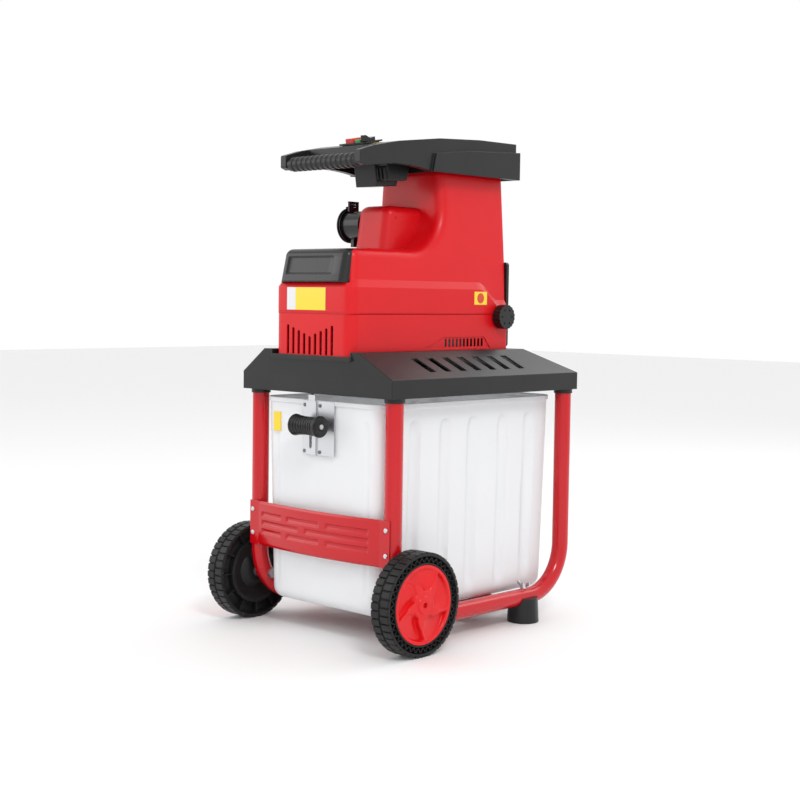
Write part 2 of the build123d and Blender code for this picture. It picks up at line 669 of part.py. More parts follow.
# ---------------------------------------------------------------- interlock switch above the tongue
plunger_r = 3.0
plunger_travel = 3.0
switch_low_z = tongue_top_z + plunger_travel + 3.0
with BuildPart() as interlock_switch:
    with Locations((channel_x, tongue_mid_y, switch_low_z)):
        Box(28, 14, 26, align=(Align.CENTER, Align.CENTER, Align.MIN))
        Cylinder(plunger_r + run_fit, 22, align=(Align.CENTER, Align.CENTER, Align.MIN), mode=Mode.SUBTRACT)
interlock_switch.part.label = "interlock_switch"
export_step(interlock_switch.part, "parts/interlock_switch.step")

with BuildPart() as interlock_plunger:
    with Locations((channel_x, tongue_mid_y, tongue_top_z + loose_fit)):
        Cylinder(plunger_r, 18, align=(Align.CENTER, Align.CENTER, Align.MIN))
    fillet(interlock_plunger.edges().group_by(Axis.Z)[0], radius=1.5)
interlock_plunger.part.label = "interlock_plunger"
export_step(interlock_plunger.part, "parts/interlock_plunger.step")

# ---------------------------------------------------------------- lower housing (motor tub)
half_low = housing_width / 2
louvre_count = 9
louvre_pitch = 14.5
louvre_width = 6.4
vent_low_z = pocket_z + pocket_depth + 3.0
vent_high_z = vent_low_z + 21.0
vent_slots = 11
vent_pitch = 10.5
knob_y = mid_y + knob_behind
knob_hole_r = 9.0


with BuildPart() as lower_housing:
    with BuildSketch(Plane.XY.offset(pocket_z)):
        with Locations((0, (front_y + rear_y) / 2)):
            Rectangle(housing_width, rear_y - front_y)
    extrude(amount=seam_z - pocket_z)
    fillet(lower_housing.edges().filter_by(Axis.Z).sort_by(Axis.Y)[:2], radius=housing_corner)
    fillet(lower_housing.edges().filter_by(Axis.Z).sort_by(Axis.Y)[-2:], radius=6)
    offset(amount=-housing_wall, openings=lower_housing.faces().sort_by(Axis.Z)[-1])
    with BuildSketch(Plane.XY.offset(pocket_z)):
        with Locations((0, (discharge_front_y + discharge_back_y) / 2)):
            Rectangle(2 * discharge_half_x - 4, discharge_back_y - discharge_front_y - 4)
    extrude(amount=2 * housing_wall, mode=Mode.SUBTRACT)
    for number in range(louvre_count):             # louvres with a V-shaped top line
        off_centre = number - (louvre_count - 1) / 2
        louvre_high = 34.0 + 5.0 * abs(off_centre)
        with BuildSketch(Plane.XZ.offset(-front_y + 5)):
            with Locations((off_centre * louvre_pitch - 5, pocket_z + 5 + louvre_high / 2)):
                SlotOverall(louvre_high, louvre_width, rotation=90)
        extrude(amount=-2 * housing_wall - 5, mode=Mode.SUBTRACT)
    for _, sign in sides:                          # ribbed vent low on each side wall
        with BuildSketch(Plane.YZ.offset(sign * half_low)):
            Polygon(
                (mid_y - 84, vent_low_z), (mid_y - 32, vent_high_z), (mid_y + 86, vent_high_z),
                (mid_y + 104, vent_low_z), align=None,
            )
        extrude(amount=-sign * housing_wall / 2, mode=Mode.SUBTRACT)
        with BuildSketch(Plane.YZ.offset(sign * half_low)):
            with Locations(*[(mid_y - 24 + vent_pitch * number, (vent_low_z + vent_high_z) / 2)
                             for number in range(vent_slots)]):
                Rectangle(vent_pitch - 4.5, vent_high_z - vent_low_z - 6)
        extrude(amount=-sign * (housing_wall + 2), mode=Mode.SUBTRACT)
    with Locations(Location((half_low, knob_y, knob_z), (0, 90, 0))):
        Cylinder(knob_hole_r, 20, mode=Mode.SUBTRACT)
lower_housing.part.label = "lower_housing"
export_step(lower_housing.part, "parts/lower_housing.step")

# ---------------------------------------------------------------- upper housing (motor bay and chute)
half_top = chute_width / 2
band_top_z = band_z + band_height
half_band = half_low - band_step
rise_slope = (half_band - half_top) / (chute_top_z - band_top_z)
edge_round = 15.0
cap_low_z = 651.0
cap_half = 86.0
cap_back_y = front_y + 60.0
cap_out = 6.0


def upper_block(inset, low_z, high_z):
    """Motor bay and chute as one block between two heights, every wall moved in by inset."""
    bay_z = motor_top_z - inset
    sweep_start = chute_front_y - chute_sweep
    sweep_end_z = motor_top_z + chute_sweep
    high_half = half_top - (high_z - chute_top_z) * rise_slope - inset
    with BuildPart() as block:
        with BuildSketch(Plane.YZ.offset(-half_low - 20)):
            with BuildLine():
                Polyline((front_y + inset, low_z), (front_y + inset, bay_z), (sweep_start, bay_z))
                ThreePointArc(
                    (sweep_start, bay_z),
                    (sweep_start + (chute_sweep + inset) * math.sin(math.pi / 4),
                     sweep_end_z - (chute_sweep + inset) * math.cos(math.pi / 4)),
                    (chute_front_y + inset, sweep_end_z),
                )
                Polyline(
                    (chute_front_y + inset, sweep_end_z), (chute_front_y + inset, high_z),
                    (rear_y - inset, high_z), (rear_y - inset, low_z), (front_y + inset, low_z),
                )
            make_face()
        extrude(amount=2 * half_low + 40)
        with BuildSketch(Plane.XZ.offset(-rear_y - 20)):
            with BuildLine():
                Polyline(
                    (half_low - inset, low_z), (half_low - 2 - inset, band_z), (half_band - 2 - inset, band_top_z),
                    (high_half, high_z), (-high_half, high_z), (-half_band + 2 + inset, band_top_z),
                    (-half_low + 2 + inset, band_z), (-half_low + inset, low_z), close=True,
                )
            make_face()
        extrude(amount=rear_y - front_y + 60, mode=Mode.INTERSECT)
    return block.part


with BuildPart() as upper_housing:
    add(upper_block(0, seam_z, chute_top_z))
    add(upper_block(housing_wall, seam_z - 2 * housing_wall, chute_top_z + 2 * housing_wall), mode=Mode.SUBTRACT)
    with Locations((0, (front_y - 20 + cap_back_y) / 2, cap_low_z)):
        Box(2 * (cap_half + loose_fit), cap_back_y - front_y + 20, 100,
            align=(Align.CENTER, Align.CENTER, Align.MIN), mode=Mode.SUBTRACT)
    with Locations(Location((half_low, knob_y, knob_z), (0, 90, 0))):
        Cylinder(knob_hole_r, 40, mode=Mode.SUBTRACT)
upper_housing.part.label = "upper_housing"
export_step(upper_housing.part, "parts/upper_housing.step")

# ---------------------------------------------------------------- motor cap
cap_top_z = motor_top_z - 2.0
cap_wall = 2.5
cap_lean = 9.0
with BuildPart() as motor_cap:
    with BuildSketch(Plane.YZ.offset(-cap_half)):
        with BuildLine():
            Polyline(
                (front_y - cap_out, cap_low_z + loose_fit), (front_y - cap_out + cap_lean, cap_top_z),
                (cap_back_y - loose_fit, cap_top_z), (cap_back_y - loose_fit, cap_low_z + loose_fit), close=True,
            )
        make_face()
    extrude(amount=2 * cap_half)
    fillet(motor_cap.edges().group_by(Axis.Y)[0], radius=3)
    fillet(motor_cap.faces().sort_by(Axis.Z)[-1].edges(), radius=4)
    with Locations((0, front_y - cap_out + cap_lean + cap_wall, cap_low_z)):
        Box(2 * (cap_half - cap_wall), cap_back_y - front_y + cap_out - cap_lean - 2 * cap_wall,
            cap_top_z - cap_low_z - cap_wall, align=(Align.CENTER, Align.MIN, Align.MIN), mode=Mode.SUBTRACT)
    with BuildSketch(Plane.XZ.offset(-front_y + cap_out + 5)):
        with Locations((0, (cap_low_z + cap_top_z) / 2 + 2)):
            RectangleRounded(122, 34, 4)
    extrude(amount=-5 - cap_lean / 2 - 1.2, mode=Mode.SUBTRACT)
motor_cap.part.label = "motor_cap"
export_step(motor_cap.part, "parts/motor_cap.step")

# ---------------------------------------------------------------- switch-gear cover behind the motor bay
gear_box_x = -12.0                                 # middle of the cover across the machine
gear_box_half = 44.0
gear_box_front_y = mid_y - 120.0
gear_box_top_z = 797.0
gear_box_wall = 2.5
with BuildPart() as cable_cover:
    with BuildSketch(Plane.YZ.offset(gear_box_x - gear_box_half)):
        with BuildLine():
            Polyline(
                (chute_front_y - chute_sweep, motor_top_z), (gear_box_front_y, motor_top_z),
                (gear_box_front_y + 5, gear_box_top_z), (chute_front_y, gear_box_top_z),
            )
            Line((chute_front_y, gear_box_top_z), (chute_front_y, motor_top_z + chute_sweep))
            ThreePointArc(
                (chute_front_y, motor_top_z + chute_sweep),
                (chute_front_y - chute_sweep + (chute_sweep) * math.sin(math.pi / 4),
                 motor_top_z + chute_sweep - (chute_sweep) * math.cos(math.pi / 4)),
                (chute_front_y - chute_sweep, motor_top_z),
            )
        make_face()
    extrude(amount=2 * gear_box_half)
    fillet(cable_cover.faces().sort_by(Axis.Z)[-1].edges().filter_by(Axis.Y), radius=10)
    with Locations((gear_box_x, gear_box_front_y + 5 + gear_box_wall, motor_top_z)):
        Box(2 * (gear_box_half - gear_box_wall), 26, gear_box_top_z - motor_top_z - 8,
            align=(Align.CENTER, Align.MIN, Align.MIN), mode=Mode.SUBTRACT)
    with Locations((gear_box_x, gear_box_front_y + 5 + gear_box_wall, motor_top_z + 24)):
        Box(2 * (gear_box_half - gear_box_wall), 60, gear_box_top_z - motor_top_z - 32,
            align=(Align.CENTER, Align.MIN, Align.MIN), mode=Mode.SUBTRACT)
cable_cover.part.label = "cable_cover"
export_step(cable_cover.part, "parts/cable_cover.step")

# ---------------------------------------------------------------- mains inlet on the cover's -X side
inlet_y = mid_y - 80.0
inlet_z = 763.0
inlet_r = 27.0
inlet_wall = 2.5
inlet_length = 48.0
inlet_back_x = gear_box_x - gear_box_half
inlet_mouth_x = inlet_back_x - inlet_length
rim_r = 34.0
lid_thick = 3.0
hinge_z = inlet_z + rim_r + 5.0
hinge_pin_r = 1.5
lid_gap = 0.6
hinge_x = inlet_mouth_x - lid_gap - lid_thick / 2
mouth_plane = Plane(origin=(inlet_mouth_x, inlet_y, inlet_z), x_dir=(0, 1, 0), z_dir=(1, 0, 0))
with BuildPart() as mains_inlet:
    with BuildSketch(mouth_plane):
        ring(inlet_r, inlet_r - inlet_wall)
    extrude(amount=inlet_length)
    with BuildSketch(mouth_plane):
        ring(rim_r - 2, inlet_r - inlet_wall)
    extrude(amount=3.0)
    with BuildSketch(mouth_plane.offset(inlet_length - 6)):
        Circle(inlet_r)
    extrude(amount=6)
    with Locations((inlet_mouth_x + 14, inlet_y, inlet_z - inlet_r + 1)):      # bracket down to the motor bay
        Box(8, 16, inlet_z - inlet_r + 1 - motor_top_z - 8, align=(Align.CENTER, Align.CENTER, Align.MAX))
    with Locations((inlet_mouth_x + 8, inlet_y, inlet_z + inlet_r - 1)):       # eye for the lead's retaining loop
        Box(4, 26, rim_r - inlet_r + 13, align=(Align.CENTER, Align.CENTER, Align.MIN))
    with Locations((inlet_mouth_x + 8, inlet_y, inlet_z + rim_r + 1)):
        Box(10, 17, 6, align=(Align.CENTER, Align.CENTER, Align.MIN), mode=Mode.SUBTRACT)
    for pin_z in (inlet_z + 4, inlet_z - 8):
        for pin_y in (inlet_y - 7, inlet_y + 7):
            with Locations(Location((inlet_back_x - 6, pin_y, pin_z), (0, 90, 0))):
                Cylinder(2.4, 14, mode=Mode.SUBTRACT)
mains_inlet.part.label = "mains_inlet"
export_step(mains_inlet.part, "parts/mains_inlet.step")

with BuildPart() as inlet_pins:
    for pin_z in (inlet_z + 4, inlet_z - 8):
        for pin_y in (inlet_y - 7, inlet_y + 7):
            with Locations(Location((inlet_back_x - 1, pin_y, pin_z), (0, -90, 0))):
                Cylinder(2.3, 28, align=(Align.CENTER, Align.CENTER, Align.MIN))
inlet_pins.part.label = "inlet_pins"
export_step(inlet_pins.part, "parts/inlet_pins.step")

# ---------------------------------------------------------------- hopper
hopper_half = hopper_width / 2
arm_front_y = mid_y - grip_y_front - 5
bowl_front_y = mid_y - 58.0
bowl_back_y = mid_y + hopper_rear - 6
console_front_y = mid_y - 207.0
rim_line = [                                       # top edge of the side walls, from the handle back
    (-262.0, 883.0), (-225.0, 894.0), (-161.0, 907.0), (-54.0, 920.5), (60.0, 927.0),
]
throat_half = half_top - housing_wall - 4
throat_front_y = chute_front_y + housing_wall + 3
throat_back_y = rear_y - housing_wall - 3
bowl_low_z = chute_top_z + 4
throat_wall = 2.5


def bowl_block(outset, high_z):
    """The funnel from the rim down to the throat, with every wall moved out by outset."""
    with BuildPart() as block:
        with BuildSketch(Plane.XY.offset(bowl_low_z)):
            with Locations((0, (throat_front_y + throat_back_y) / 2)):
                Rectangle(2 * (throat_half - throat_wall + outset),
                          throat_back_y - throat_front_y - 2 * throat_wall + 2 * outset)
        with BuildSketch(Plane.XY.offset(high_z)):
            with Locations((0, (bowl_front_y + bowl_back_y) / 2)):
                Rectangle(2 * (hopper_half - 7 + outset), bowl_back_y - bowl_front_y + 2 * outset)
        loft()
    return block.part


funnel = bowl_block(0, hopper_high_z + 2)
funnel_outer = bowl_block(hopper_wall, hopper_high_z + 2)
with BuildPart() as under_bowl:                    # hollow between the funnel and the outer walls
    with Locations((0, mid_y + (hopper_rear - 72) / 2, hopper_low_z - 10)):
        Box(hopper_width - 2 * hopper_wall, hopper_rear + 72 - 2 * hopper_wall,
            hopper_high_z - hopper_low_z + 10 - 3 * hopper_wall, align=(Align.CENTER, Align.CENTER, Align.MIN))
    add(funnel_outer, mode=Mode.SUBTRACT)

with BuildPart() as hopper:
    with BuildSketch(Plane.YZ.offset(-hopper_half)):
        with BuildLine():
            Polyline(*[(mid_y + y, z) for y, z in rim_line])
            Polyline(
                (mid_y + 60.0, 927.0), (mid_y + hopper_rear, hopper_high_z), (mid_y + hopper_rear, hopper_low_z),
                (mid_y - 72.0, hopper_low_z),
            )
            ThreePointArc((mid_y - 72.0, hopper_low_z), (mid_y - 118.0, 864.2), (mid_y - 173.0, 865.6))
            Polyline((mid_y - 173.0, 865.6), (arm_front_y + 12, 857.0), (arm_front_y, 861.0), (arm_front_y, 883.0))
        make_face()
    extrude(amount=hopper_width)
    fillet(hopper.edges().filter_by(Axis.X).group_by(Axis.Y)[0], radius=3.5)
    with BuildSketch(Plane.YZ.offset(-hopper_half - skirt_out)):
        with BuildLine():
            Polyline(
                (mid_y - 76.0, hopper_low_z), (mid_y - 68.0, 892.0), (mid_y + 25.0, 903.0),
                (mid_y + hopper_rear + skirt_out, 911.5), (mid_y + hopper_rear + skirt_out, hopper_low_z),
                close=True,
            )
        make_face()
    extrude(amount=hopper_width + 2 * skirt_out)
    with Locations((0, console_front_y, hopper_low_z - 20)):                     # hand space behind the handle bar
        Box(hopper_width - 2 * arm_width, 80, 100, align=(Align.CENTER, Align.MAX, Align.MIN), mode=Mode.SUBTRACT)
    add(under_bowl.part, mode=Mode.SUBTRACT)
    with BuildSketch(Plane.YZ.offset(-hopper_half + arm_width)):                 # hollow under the console
        with BuildLine():
            Polyline(
                (console_front_y + hopper_wall, hopper_low_z - 10), (console_front_y + hopper_wall, 894.0),
                (mid_y - 161.0, 903.0), (bowl_front_y - 14, 914.0), (bowl_front_y - 14, hopper_low_z - 10), close=True,
            )
        make_face()
    extrude(amount=hopper_width - 2 * arm_width, mode=Mode.SUBTRACT)
    with BuildSketch(Plane.XY.offset(throat_z)):                                 # throat inside the chute
        with Locations((0, (throat_front_y + throat_back_y) / 2)):
            Rectangle(2 * throat_half, throat_back_y - throat_front_y)
    extrude(amount=bowl_low_z + hopper_wall - throat_z)
    with BuildSketch(Plane.XY.offset(throat_z)):
        with Locations((0, (throat_front_y + throat_back_y) / 2)):
            Rectangle(2 * (throat_half - throat_wall), throat_back_y - throat_front_y - 2 * throat_wall)
    extrude(amount=bowl_low_z + hopper_wall - throat_z, mode=Mode.SUBTRACT)
    add(funnel, mode=Mode.SUBTRACT)
    with Locations((8, mid_y - 165.0, 880)):                                     # opening for the switch
        Box(61, 45, 60, align=(Align.CENTER, Align.CENTER, Align.MIN), mode=Mode.SUBTRACT)
hopper.part.label = "hopper"
export_step(hopper.part, "parts/hopper.step")

# ---------------------------------------------------------------- handle bar
grip_y = mid_y - grip_y_front
grip_half = hopper_half - arm_width - loose_fit
grip_groove_pitch = 13.0
grip_screw_x = (-5 * grip_groove_pitch, 0, 5 * grip_groove_pitch)
with BuildPart() as handle_grip:
    with Locations(Location((0, grip_y + grip_d / 2 - 6, grip_z), (0, 90, 0))):
        Cylinder(grip_d / 2, 2 * grip_half)
    for number in range(12):
        with BuildSketch(Plane.YZ.offset((number - 5.5) * grip_groove_pitch)):
            with Locations((grip_y + grip_d / 2 - 6, grip_z)):
                ring(grip_d / 2 + 1, grip_d / 2 - 0.8)
        extrude(amount=1.5, both=True, mode=Mode.SUBTRACT)
    with Locations(*[(x, grip_y + grip_d / 2 - 6, grip_z - grip_d / 2) for x in grip_screw_x]):
        Cylinder(3.5, 8, align=(Align.CENTER, Align.CENTER, Align.MIN), mode=Mode.SUBTRACT)
handle_grip.part.label = "handle_grip"
export_step(handle_grip.part, "parts/handle_grip.step")

# ---------------------------------------------------------------- inlet lid on its hinge
with BuildPart() as inlet_lid:
    with BuildSketch(mouth_plane.offset(-lid_gap - lid_thick)):
        Circle(rim_r)
    extrude(amount=lid_thick)
    fillet(inlet_lid.faces().sort_by(Axis.X)[0].edges(), radius=1.2)
    with Locations((hinge_x, inlet_y, hinge_z)):
        Box(lid_thick, 18, 9, align=(Align.CENTER, Align.CENTER, Align.MAX))
    with Locations(Location((hinge_x, inlet_y, hinge_z), (90, 0, 0))):
        Cylinder(3.0, 18)
        Cylinder(hinge_pin_r + run_fit, 18, mode=Mode.SUBTRACT)
inlet_lid.part.label = "inlet_lid"
export_step(inlet_lid.part, "parts/inlet_lid.step")

with BuildPart() as inlet_hinge:                   # pin in two ears that stand on the eye
    with Locations(Location((hinge_x, inlet_y, hinge_z), (90, 0, 0))):
        Cylinder(hinge_pin_r, 26)
    for end in (-1, 1):
        with Locations((hinge_x + 3.0 - 4.5, inlet_y + end * 11.0, hinge_z)):
            Box(inlet_mouth_x + 6 - hinge_x + 1.5, 3.0, 6.0, align=(Align.MIN, Align.CENTER, Align.CENTER))
inlet_hinge.part.label = "inlet_hinge"
export_step(inlet_hinge.part, "parts/inlet_hinge.step")

# ---------------------------------------------------------------- switch in the console
switch_x = 8.0
switch_y = mid_y - 165.0
console_slope = math.degrees(math.atan2(13.0, 64.0))
switch_plane = Plane(origin=(switch_x, switch_y, 907.5), x_dir=(1, 0, 0),
                     z_dir=(0, -math.sin(math.radians(console_slope)), math.cos(math.radians(console_slope))))
button_travel = 3.0
button_gap = 0.4
stop_mid_x = -17.0
start_mid_x = 3.5
rocker_mid_x = 20.0
rocker_pin_r = 1.5
rocker_plane = Plane(origin=switch_plane.from_local_coords((rocker_mid_x, 0, 1.0)), x_dir=switch_plane.y_dir,
                     z_dir=(1, 0, 0))
with BuildPart() as switch_body:
    with BuildSketch(switch_plane):
        RectangleRounded(68, 50, 4)
    extrude(amount=3.0)
    with BuildSketch(switch_plane):
        RectangleRounded(58, 42, 3)
    extrude(amount=-28.0)
    with BuildSketch(switch_plane.offset(3.0)):
        with Locations((stop_mid_x, 0)):
            Rectangle(22, 26)
        with Locations((start_mid_x, 0)):
            Rectangle(15, 26)
        with Locations((rocker_mid_x, 0)):
            Rectangle(15, 26)
    extrude(amount=-14.0, mode=Mode.SUBTRACT)
    with BuildSketch(switch_plane.offset(-6.0)):   # stems of the two buttons
        with Locations((stop_mid_x, 0), (start_mid_x, 0)):
            Circle(3.0 + run_fit)
    extrude(amount=-20.0, mode=Mode.SUBTRACT)
    with BuildSketch(rocker_plane):                # blind bores for the rocker's pivots
        Circle(rocker_pin_r + run_fit)
    extrude(amount=9.5, both=True, mode=Mode.SUBTRACT)
switch_body.part.label = "switch_body"
export_step(switch_body.part, "parts/switch_body.step")

for button_name, button_x, button_wide, button_high in (
    ("stop_button", stop_mid_x, 22.0, 8.0),
    ("start_button", start_mid_x, 15.0, 5.0),
):
    with BuildPart() as button:
        with BuildSketch(switch_plane.offset(-5.0)):
            with Locations((button_x, 0)):
                RectangleRounded(button_wide - 2 * button_gap, 26 - 2 * button_gap, 2)
        extrude(amount=5.0 + 3.0 + button_high)
        fillet(button.faces().sort_by(Axis.Z)[-1].edges(), radius=1.2)
        with BuildSketch(switch_plane.offset(-5.0)):
            with Locations((button_x, 0)):
                Circle(3.0)
        extrude(amount=-12.0)
    button.part.label = button_name
    export_step(button.part, f"parts/{button_name}.step")

with BuildPart() as direction_rocker:
    with BuildSketch(rocker_plane):
        with BuildLine():
            Polyline((-11.5, 3.0), (-11.5, 14.0), (0, 7.0), (11.5, 9.0), (11.5, 3.0), (0, -5.0), close=True)
        make_face()
    extrude(amount=6.8, both=True)
    with BuildSketch(rocker_plane):                # moulded pivots at both ends
        Circle(rocker_pin_r)
    extrude(amount=9.0, both=True)
direction_rocker.part.label = "direction_rocker"
export_step(direction_rocker.part, "parts/direction_rocker.step")

with BuildPart() as switch_housing:                # box under the console that holds the wiring
    with Locations((8, mid_y - 109.0, 828)):
        Box(80, 70, 46, align=(Align.CENTER, Align.CENTER, Align.MIN))
    fillet(switch_housing.edges().filter_by(Axis.Z), radius=5)
    with Locations((8, mid_y - 109.0, 831)):
        Box(75, 65, 46, align=(Align.CENTER, Align.CENTER, Align.MIN), mode=Mode.SUBTRACT)
    for rib in range(4):
        with Locations((8 + 40, mid_y - 132.0 + 14 * rib, 834)):
            Box(1.6, 4, 38, align=(Align.MIN, Align.CENTER, Align.MIN))
switch_housing.part.label = "switch_housing"
export_step(switch_housing.part, "parts/switch_housing.step")

# ---------------------------------------------------------------- cutter frame, roller and gear train
chamber_half = 70.0
chamber_high_z = 690.0
roller_gap = 2.0
chamber_front_y = roller_front_y - roller_gap - frame_plate
chamber_back_y = roller_back_y + roller_gap
chamber_side = 6.0
bearing_r = 21.0
bearing_wide = 7.0
half_dx = (motor_x - roller_x) / 2
half_dz = (motor_z - roller_z) / 2
half_apart = math.hypot(half_dx, half_dz)
counter_drop = math.sqrt(gear_span**2 - half_apart**2)
counter_x = roller_x + half_dx + counter_drop * half_dz / half_apart
counter_z = roller_z + half_dz - counter_drop * half_dx / half_apart
counter_journal_r = pinion_r - 1.0
gearbox_wall = 4.0
chamber_low_z = counter_z - gear_r - 1.0 - gearbox_wall
stage_two_y = chamber_front_y - 22.0               # front face of the roller's gear
gear_wide = 12.0
stage_one_y = stage_two_y - 16.0
gearbox_front_y = stage_one_y - 8.0
with BuildPart() as cutter_frame:
    for plate_y in (chamber_front_y, chamber_back_y):
        with Locations((0, plate_y, chamber_low_z)):
            Box(2 * chamber_half, frame_plate, chamber_high_z - chamber_low_z,
                align=(Align.CENTER, Align.MIN, Align.MIN))
    for _, sign in sides:
        with Locations((sign * (chamber_half - chamber_side / 2), chamber_front_y, chamber_low_z)):
            Box(chamber_side, chamber_back_y + frame_plate - chamber_front_y, chamber_high_z - chamber_low_z,
                align=(Align.CENTER, Align.MIN, Align.MIN))
    for bore_y in (chamber_front_y, chamber_back_y):
        with Locations(Location((roller_x, bore_y + frame_plate / 2, roller_z), (90, 0, 0))):
            Cylinder(bearing_r, frame_plate + 2, mode=Mode.SUBTRACT)
    with Locations(Location((counter_x, chamber_front_y, counter_z), (90, 0, 0))):
        Cylinder(counter_journal_r + run_fit, 12, mode=Mode.SUBTRACT)
    with Locations(Location((chamber_half, knob_y, knob_z), (0, 90, 0))):
        Cylinder(screw_d / 2 + run_fit, 20, mode=Mode.SUBTRACT)
cutter_frame.part.label = "cutter_frame"
export_step(cutter_frame.part, "parts/cutter_frame.step")

tooth_count = 8
with BuildPart() as cutting_roller:
    with BuildSketch(Plane.XZ.offset(-roller_back_y)):
        with Locations((roller_x, roller_z)):
            Circle(roller_d / 2 - 7)
            with PolarLocations(roller_d / 2 - 5, tooth_count):
                Trapezoid(14, 10, 65, rotation=-90)
            Circle(roller_shaft_d / 2, mode=Mode.SUBTRACT)
    extrude(amount=roller_length)
    for step in range(6):                          # grooves that break the teeth into cutters
        with BuildSketch(Plane.XZ.offset(-roller_back_y + 14 + 20 * step)):
            with Locations((roller_x, roller_z)):
                ring(roller_d / 2 + 4, roller_d / 2 - 5)
        extrude(amount=4, mode=Mode.SUBTRACT)
cutting_roller.part.label = "cutting_roller"
export_step(cutting_roller.part, "parts/cutting_roller.step")

with BuildPart() as roller_shaft:
    with BuildSketch(Plane.XZ.offset(-chamber_back_y - frame_plate + 2)):
        with Locations((roller_x, roller_z)):
            Circle(roller_shaft_d / 2)
    extrude(amount=chamber_back_y + frame_plate - 2 - stage_two_y)
roller_shaft.part.label = "roller_shaft"
export_step(roller_shaft.part, "parts/roller_shaft.step")


def toothed_disc(middle, back_y, width, pitch_r, teeth, bore_r):
    """A gear: a round body with shallow teeth that end on the pitch circle."""
    with BuildPart() as disc:
        with BuildSketch(Plane.XZ.offset(-back_y)):
            with Locations(middle):
                Circle(pitch_r - 1.0)
                with PolarLocations(pitch_r - 0.9, teeth):
                    Rectangle(1.6, pitch_r * math.pi / teeth)
                if bore_r:
                    Circle(bore_r, mode=Mode.SUBTRACT)
        extrude(amount=width)
    return disc.part


with BuildPart() as roller_gear:
    add(toothed_disc((roller_x, roller_z), stage_two_y + gear_wide, gear_wide, gear_r, gear_ratio_teeth,
                     roller_shaft_d / 2))
roller_gear.part.label = "roller_gear"
export_step(roller_gear.part, "parts/roller_gear.step")

with BuildPart() as counter_gear:
    add(toothed_disc((counter_x, counter_z), stage_one_y + gear_wide, gear_wide, gear_r, gear_ratio_teeth, 0))
    add(toothed_disc((counter_x, counter_z), stage_two_y + gear_wide + 1, gear_wide + 5, pinion_r, pinion_teeth, 0))
    with BuildSketch(Plane.XZ.offset(-chamber_front_y - 5)):
        with Locations((counter_x, counter_z)):
            Circle(counter_journal_r)
    extrude(amount=chamber_front_y + 5 - gearbox_front_y - 1)
counter_gear.part.label = "counter_gear"
export_step(counter_gear.part, "parts/counter_gear.step")

gearbox_left = roller_x - gear_r - 1.5 - gearbox_wall
gearbox_right = counter_x + gear_r + 1.5 + gearbox_wall
gearbox_high_z = roller_z + gear_r + 1.5 + gearbox_wall
with BuildPart() as gearbox:
    with Locations(((gearbox_left + gearbox_right) / 2, gearbox_front_y, chamber_low_z)):
        Box(gearbox_right - gearbox_left, chamber_front_y - gearbox_front_y, gearbox_high_z - chamber_low_z,
            align=(Align.CENTER, Align.MIN, Align.MIN))
    fillet(gearbox.edges().filter_by(Axis.Y), radius=8)
    with Locations(((gearbox_left + gearbox_right) / 2, gearbox_front_y + gearbox_wall, chamber_low_z + gearbox_wall)):
        Box(gearbox_right - gearbox_left - 2 * gearbox_wall, chamber_front_y - gearbox_front_y,
            gearbox_high_z - chamber_low_z - 2 * gearbox_wall, align=(Align.CENTER, Align.MIN, Align.MIN),
            mode=Mode.SUBTRACT)
    with Locations(Location((motor_x, gearbox_front_y, motor_z), (90, 0, 0))):
        Cylinder(motor_shaft_d / 2 + run_fit, 20, mode=Mode.SUBTRACT)
    with Locations(Location((counter_x, gearbox_front_y, counter_z), (90, 0, 0))):
        Cylinder(counter_journal_r + run_fit, 20, mode=Mode.SUBTRACT)
gearbox.part.label = "gearbox"
export_step(gearbox.part, "parts/gearbox.step")

# ---------------------------------------------------------------- motor
motor_back_y = gearbox_front_y - 3.0
motor_length = 128.0
motor_front_y = motor_back_y - motor_length
shield_thick = 9.0
motor_bearing_r = 16.0
rotor_gap = 0.5
motor_r = motor_d / 2
with BuildPart() as motor_stator:
    with BuildSketch(Plane.XZ.offset(-motor_back_y + shield_thick)):
        with Locations((motor_x, motor_z)):
            ring(motor_r - 2, rotor_d / 2 + rotor_gap)
    extrude(amount=motor_length - 2 * shield_thick)
motor_stator.part.label = "motor_stator"
export_step(motor_stator.part, "parts/motor_stator.step")

shield_back_y = (motor_front_y + shield_thick, motor_back_y)
with BuildPart() as motor_shields:
    for shield_y in shield_back_y:
        with BuildSketch(Plane.XZ.offset(-shield_y)):
            with Locations((motor_x, motor_z)):
                ring(motor_r, motor_bearing_r)
                with PolarLocations(motor_r - 18, 6):
                    Circle(7, mode=Mode.SUBTRACT)
        extrude(amount=shield_thick)
motor_shields.part.label = "motor_shields"
export_step(motor_shields.part, "parts/motor_shields.step")

with BuildPart() as bearings:
    for bore_y in (chamber_front_y, chamber_back_y):
        with BuildSketch(Plane.XZ.offset(-bore_y - frame_plate)):
            with Locations((roller_x, roller_z)):
                ring(bearing_r - run_fit, roller_shaft_d / 2 + run_fit)
        extrude(amount=bearing_wide)
    for shield_y in shield_back_y:
        with BuildSketch(Plane.XZ.offset(-shield_y + 1)):
            with Locations((motor_x, motor_z)):
                ring(motor_bearing_r - run_fit, motor_shaft_d / 2 + run_fit)
        extrude(amount=shield_thick - 2)
bearings.part.label = "bearings"
export_step(bearings.part, "parts/bearings.step")

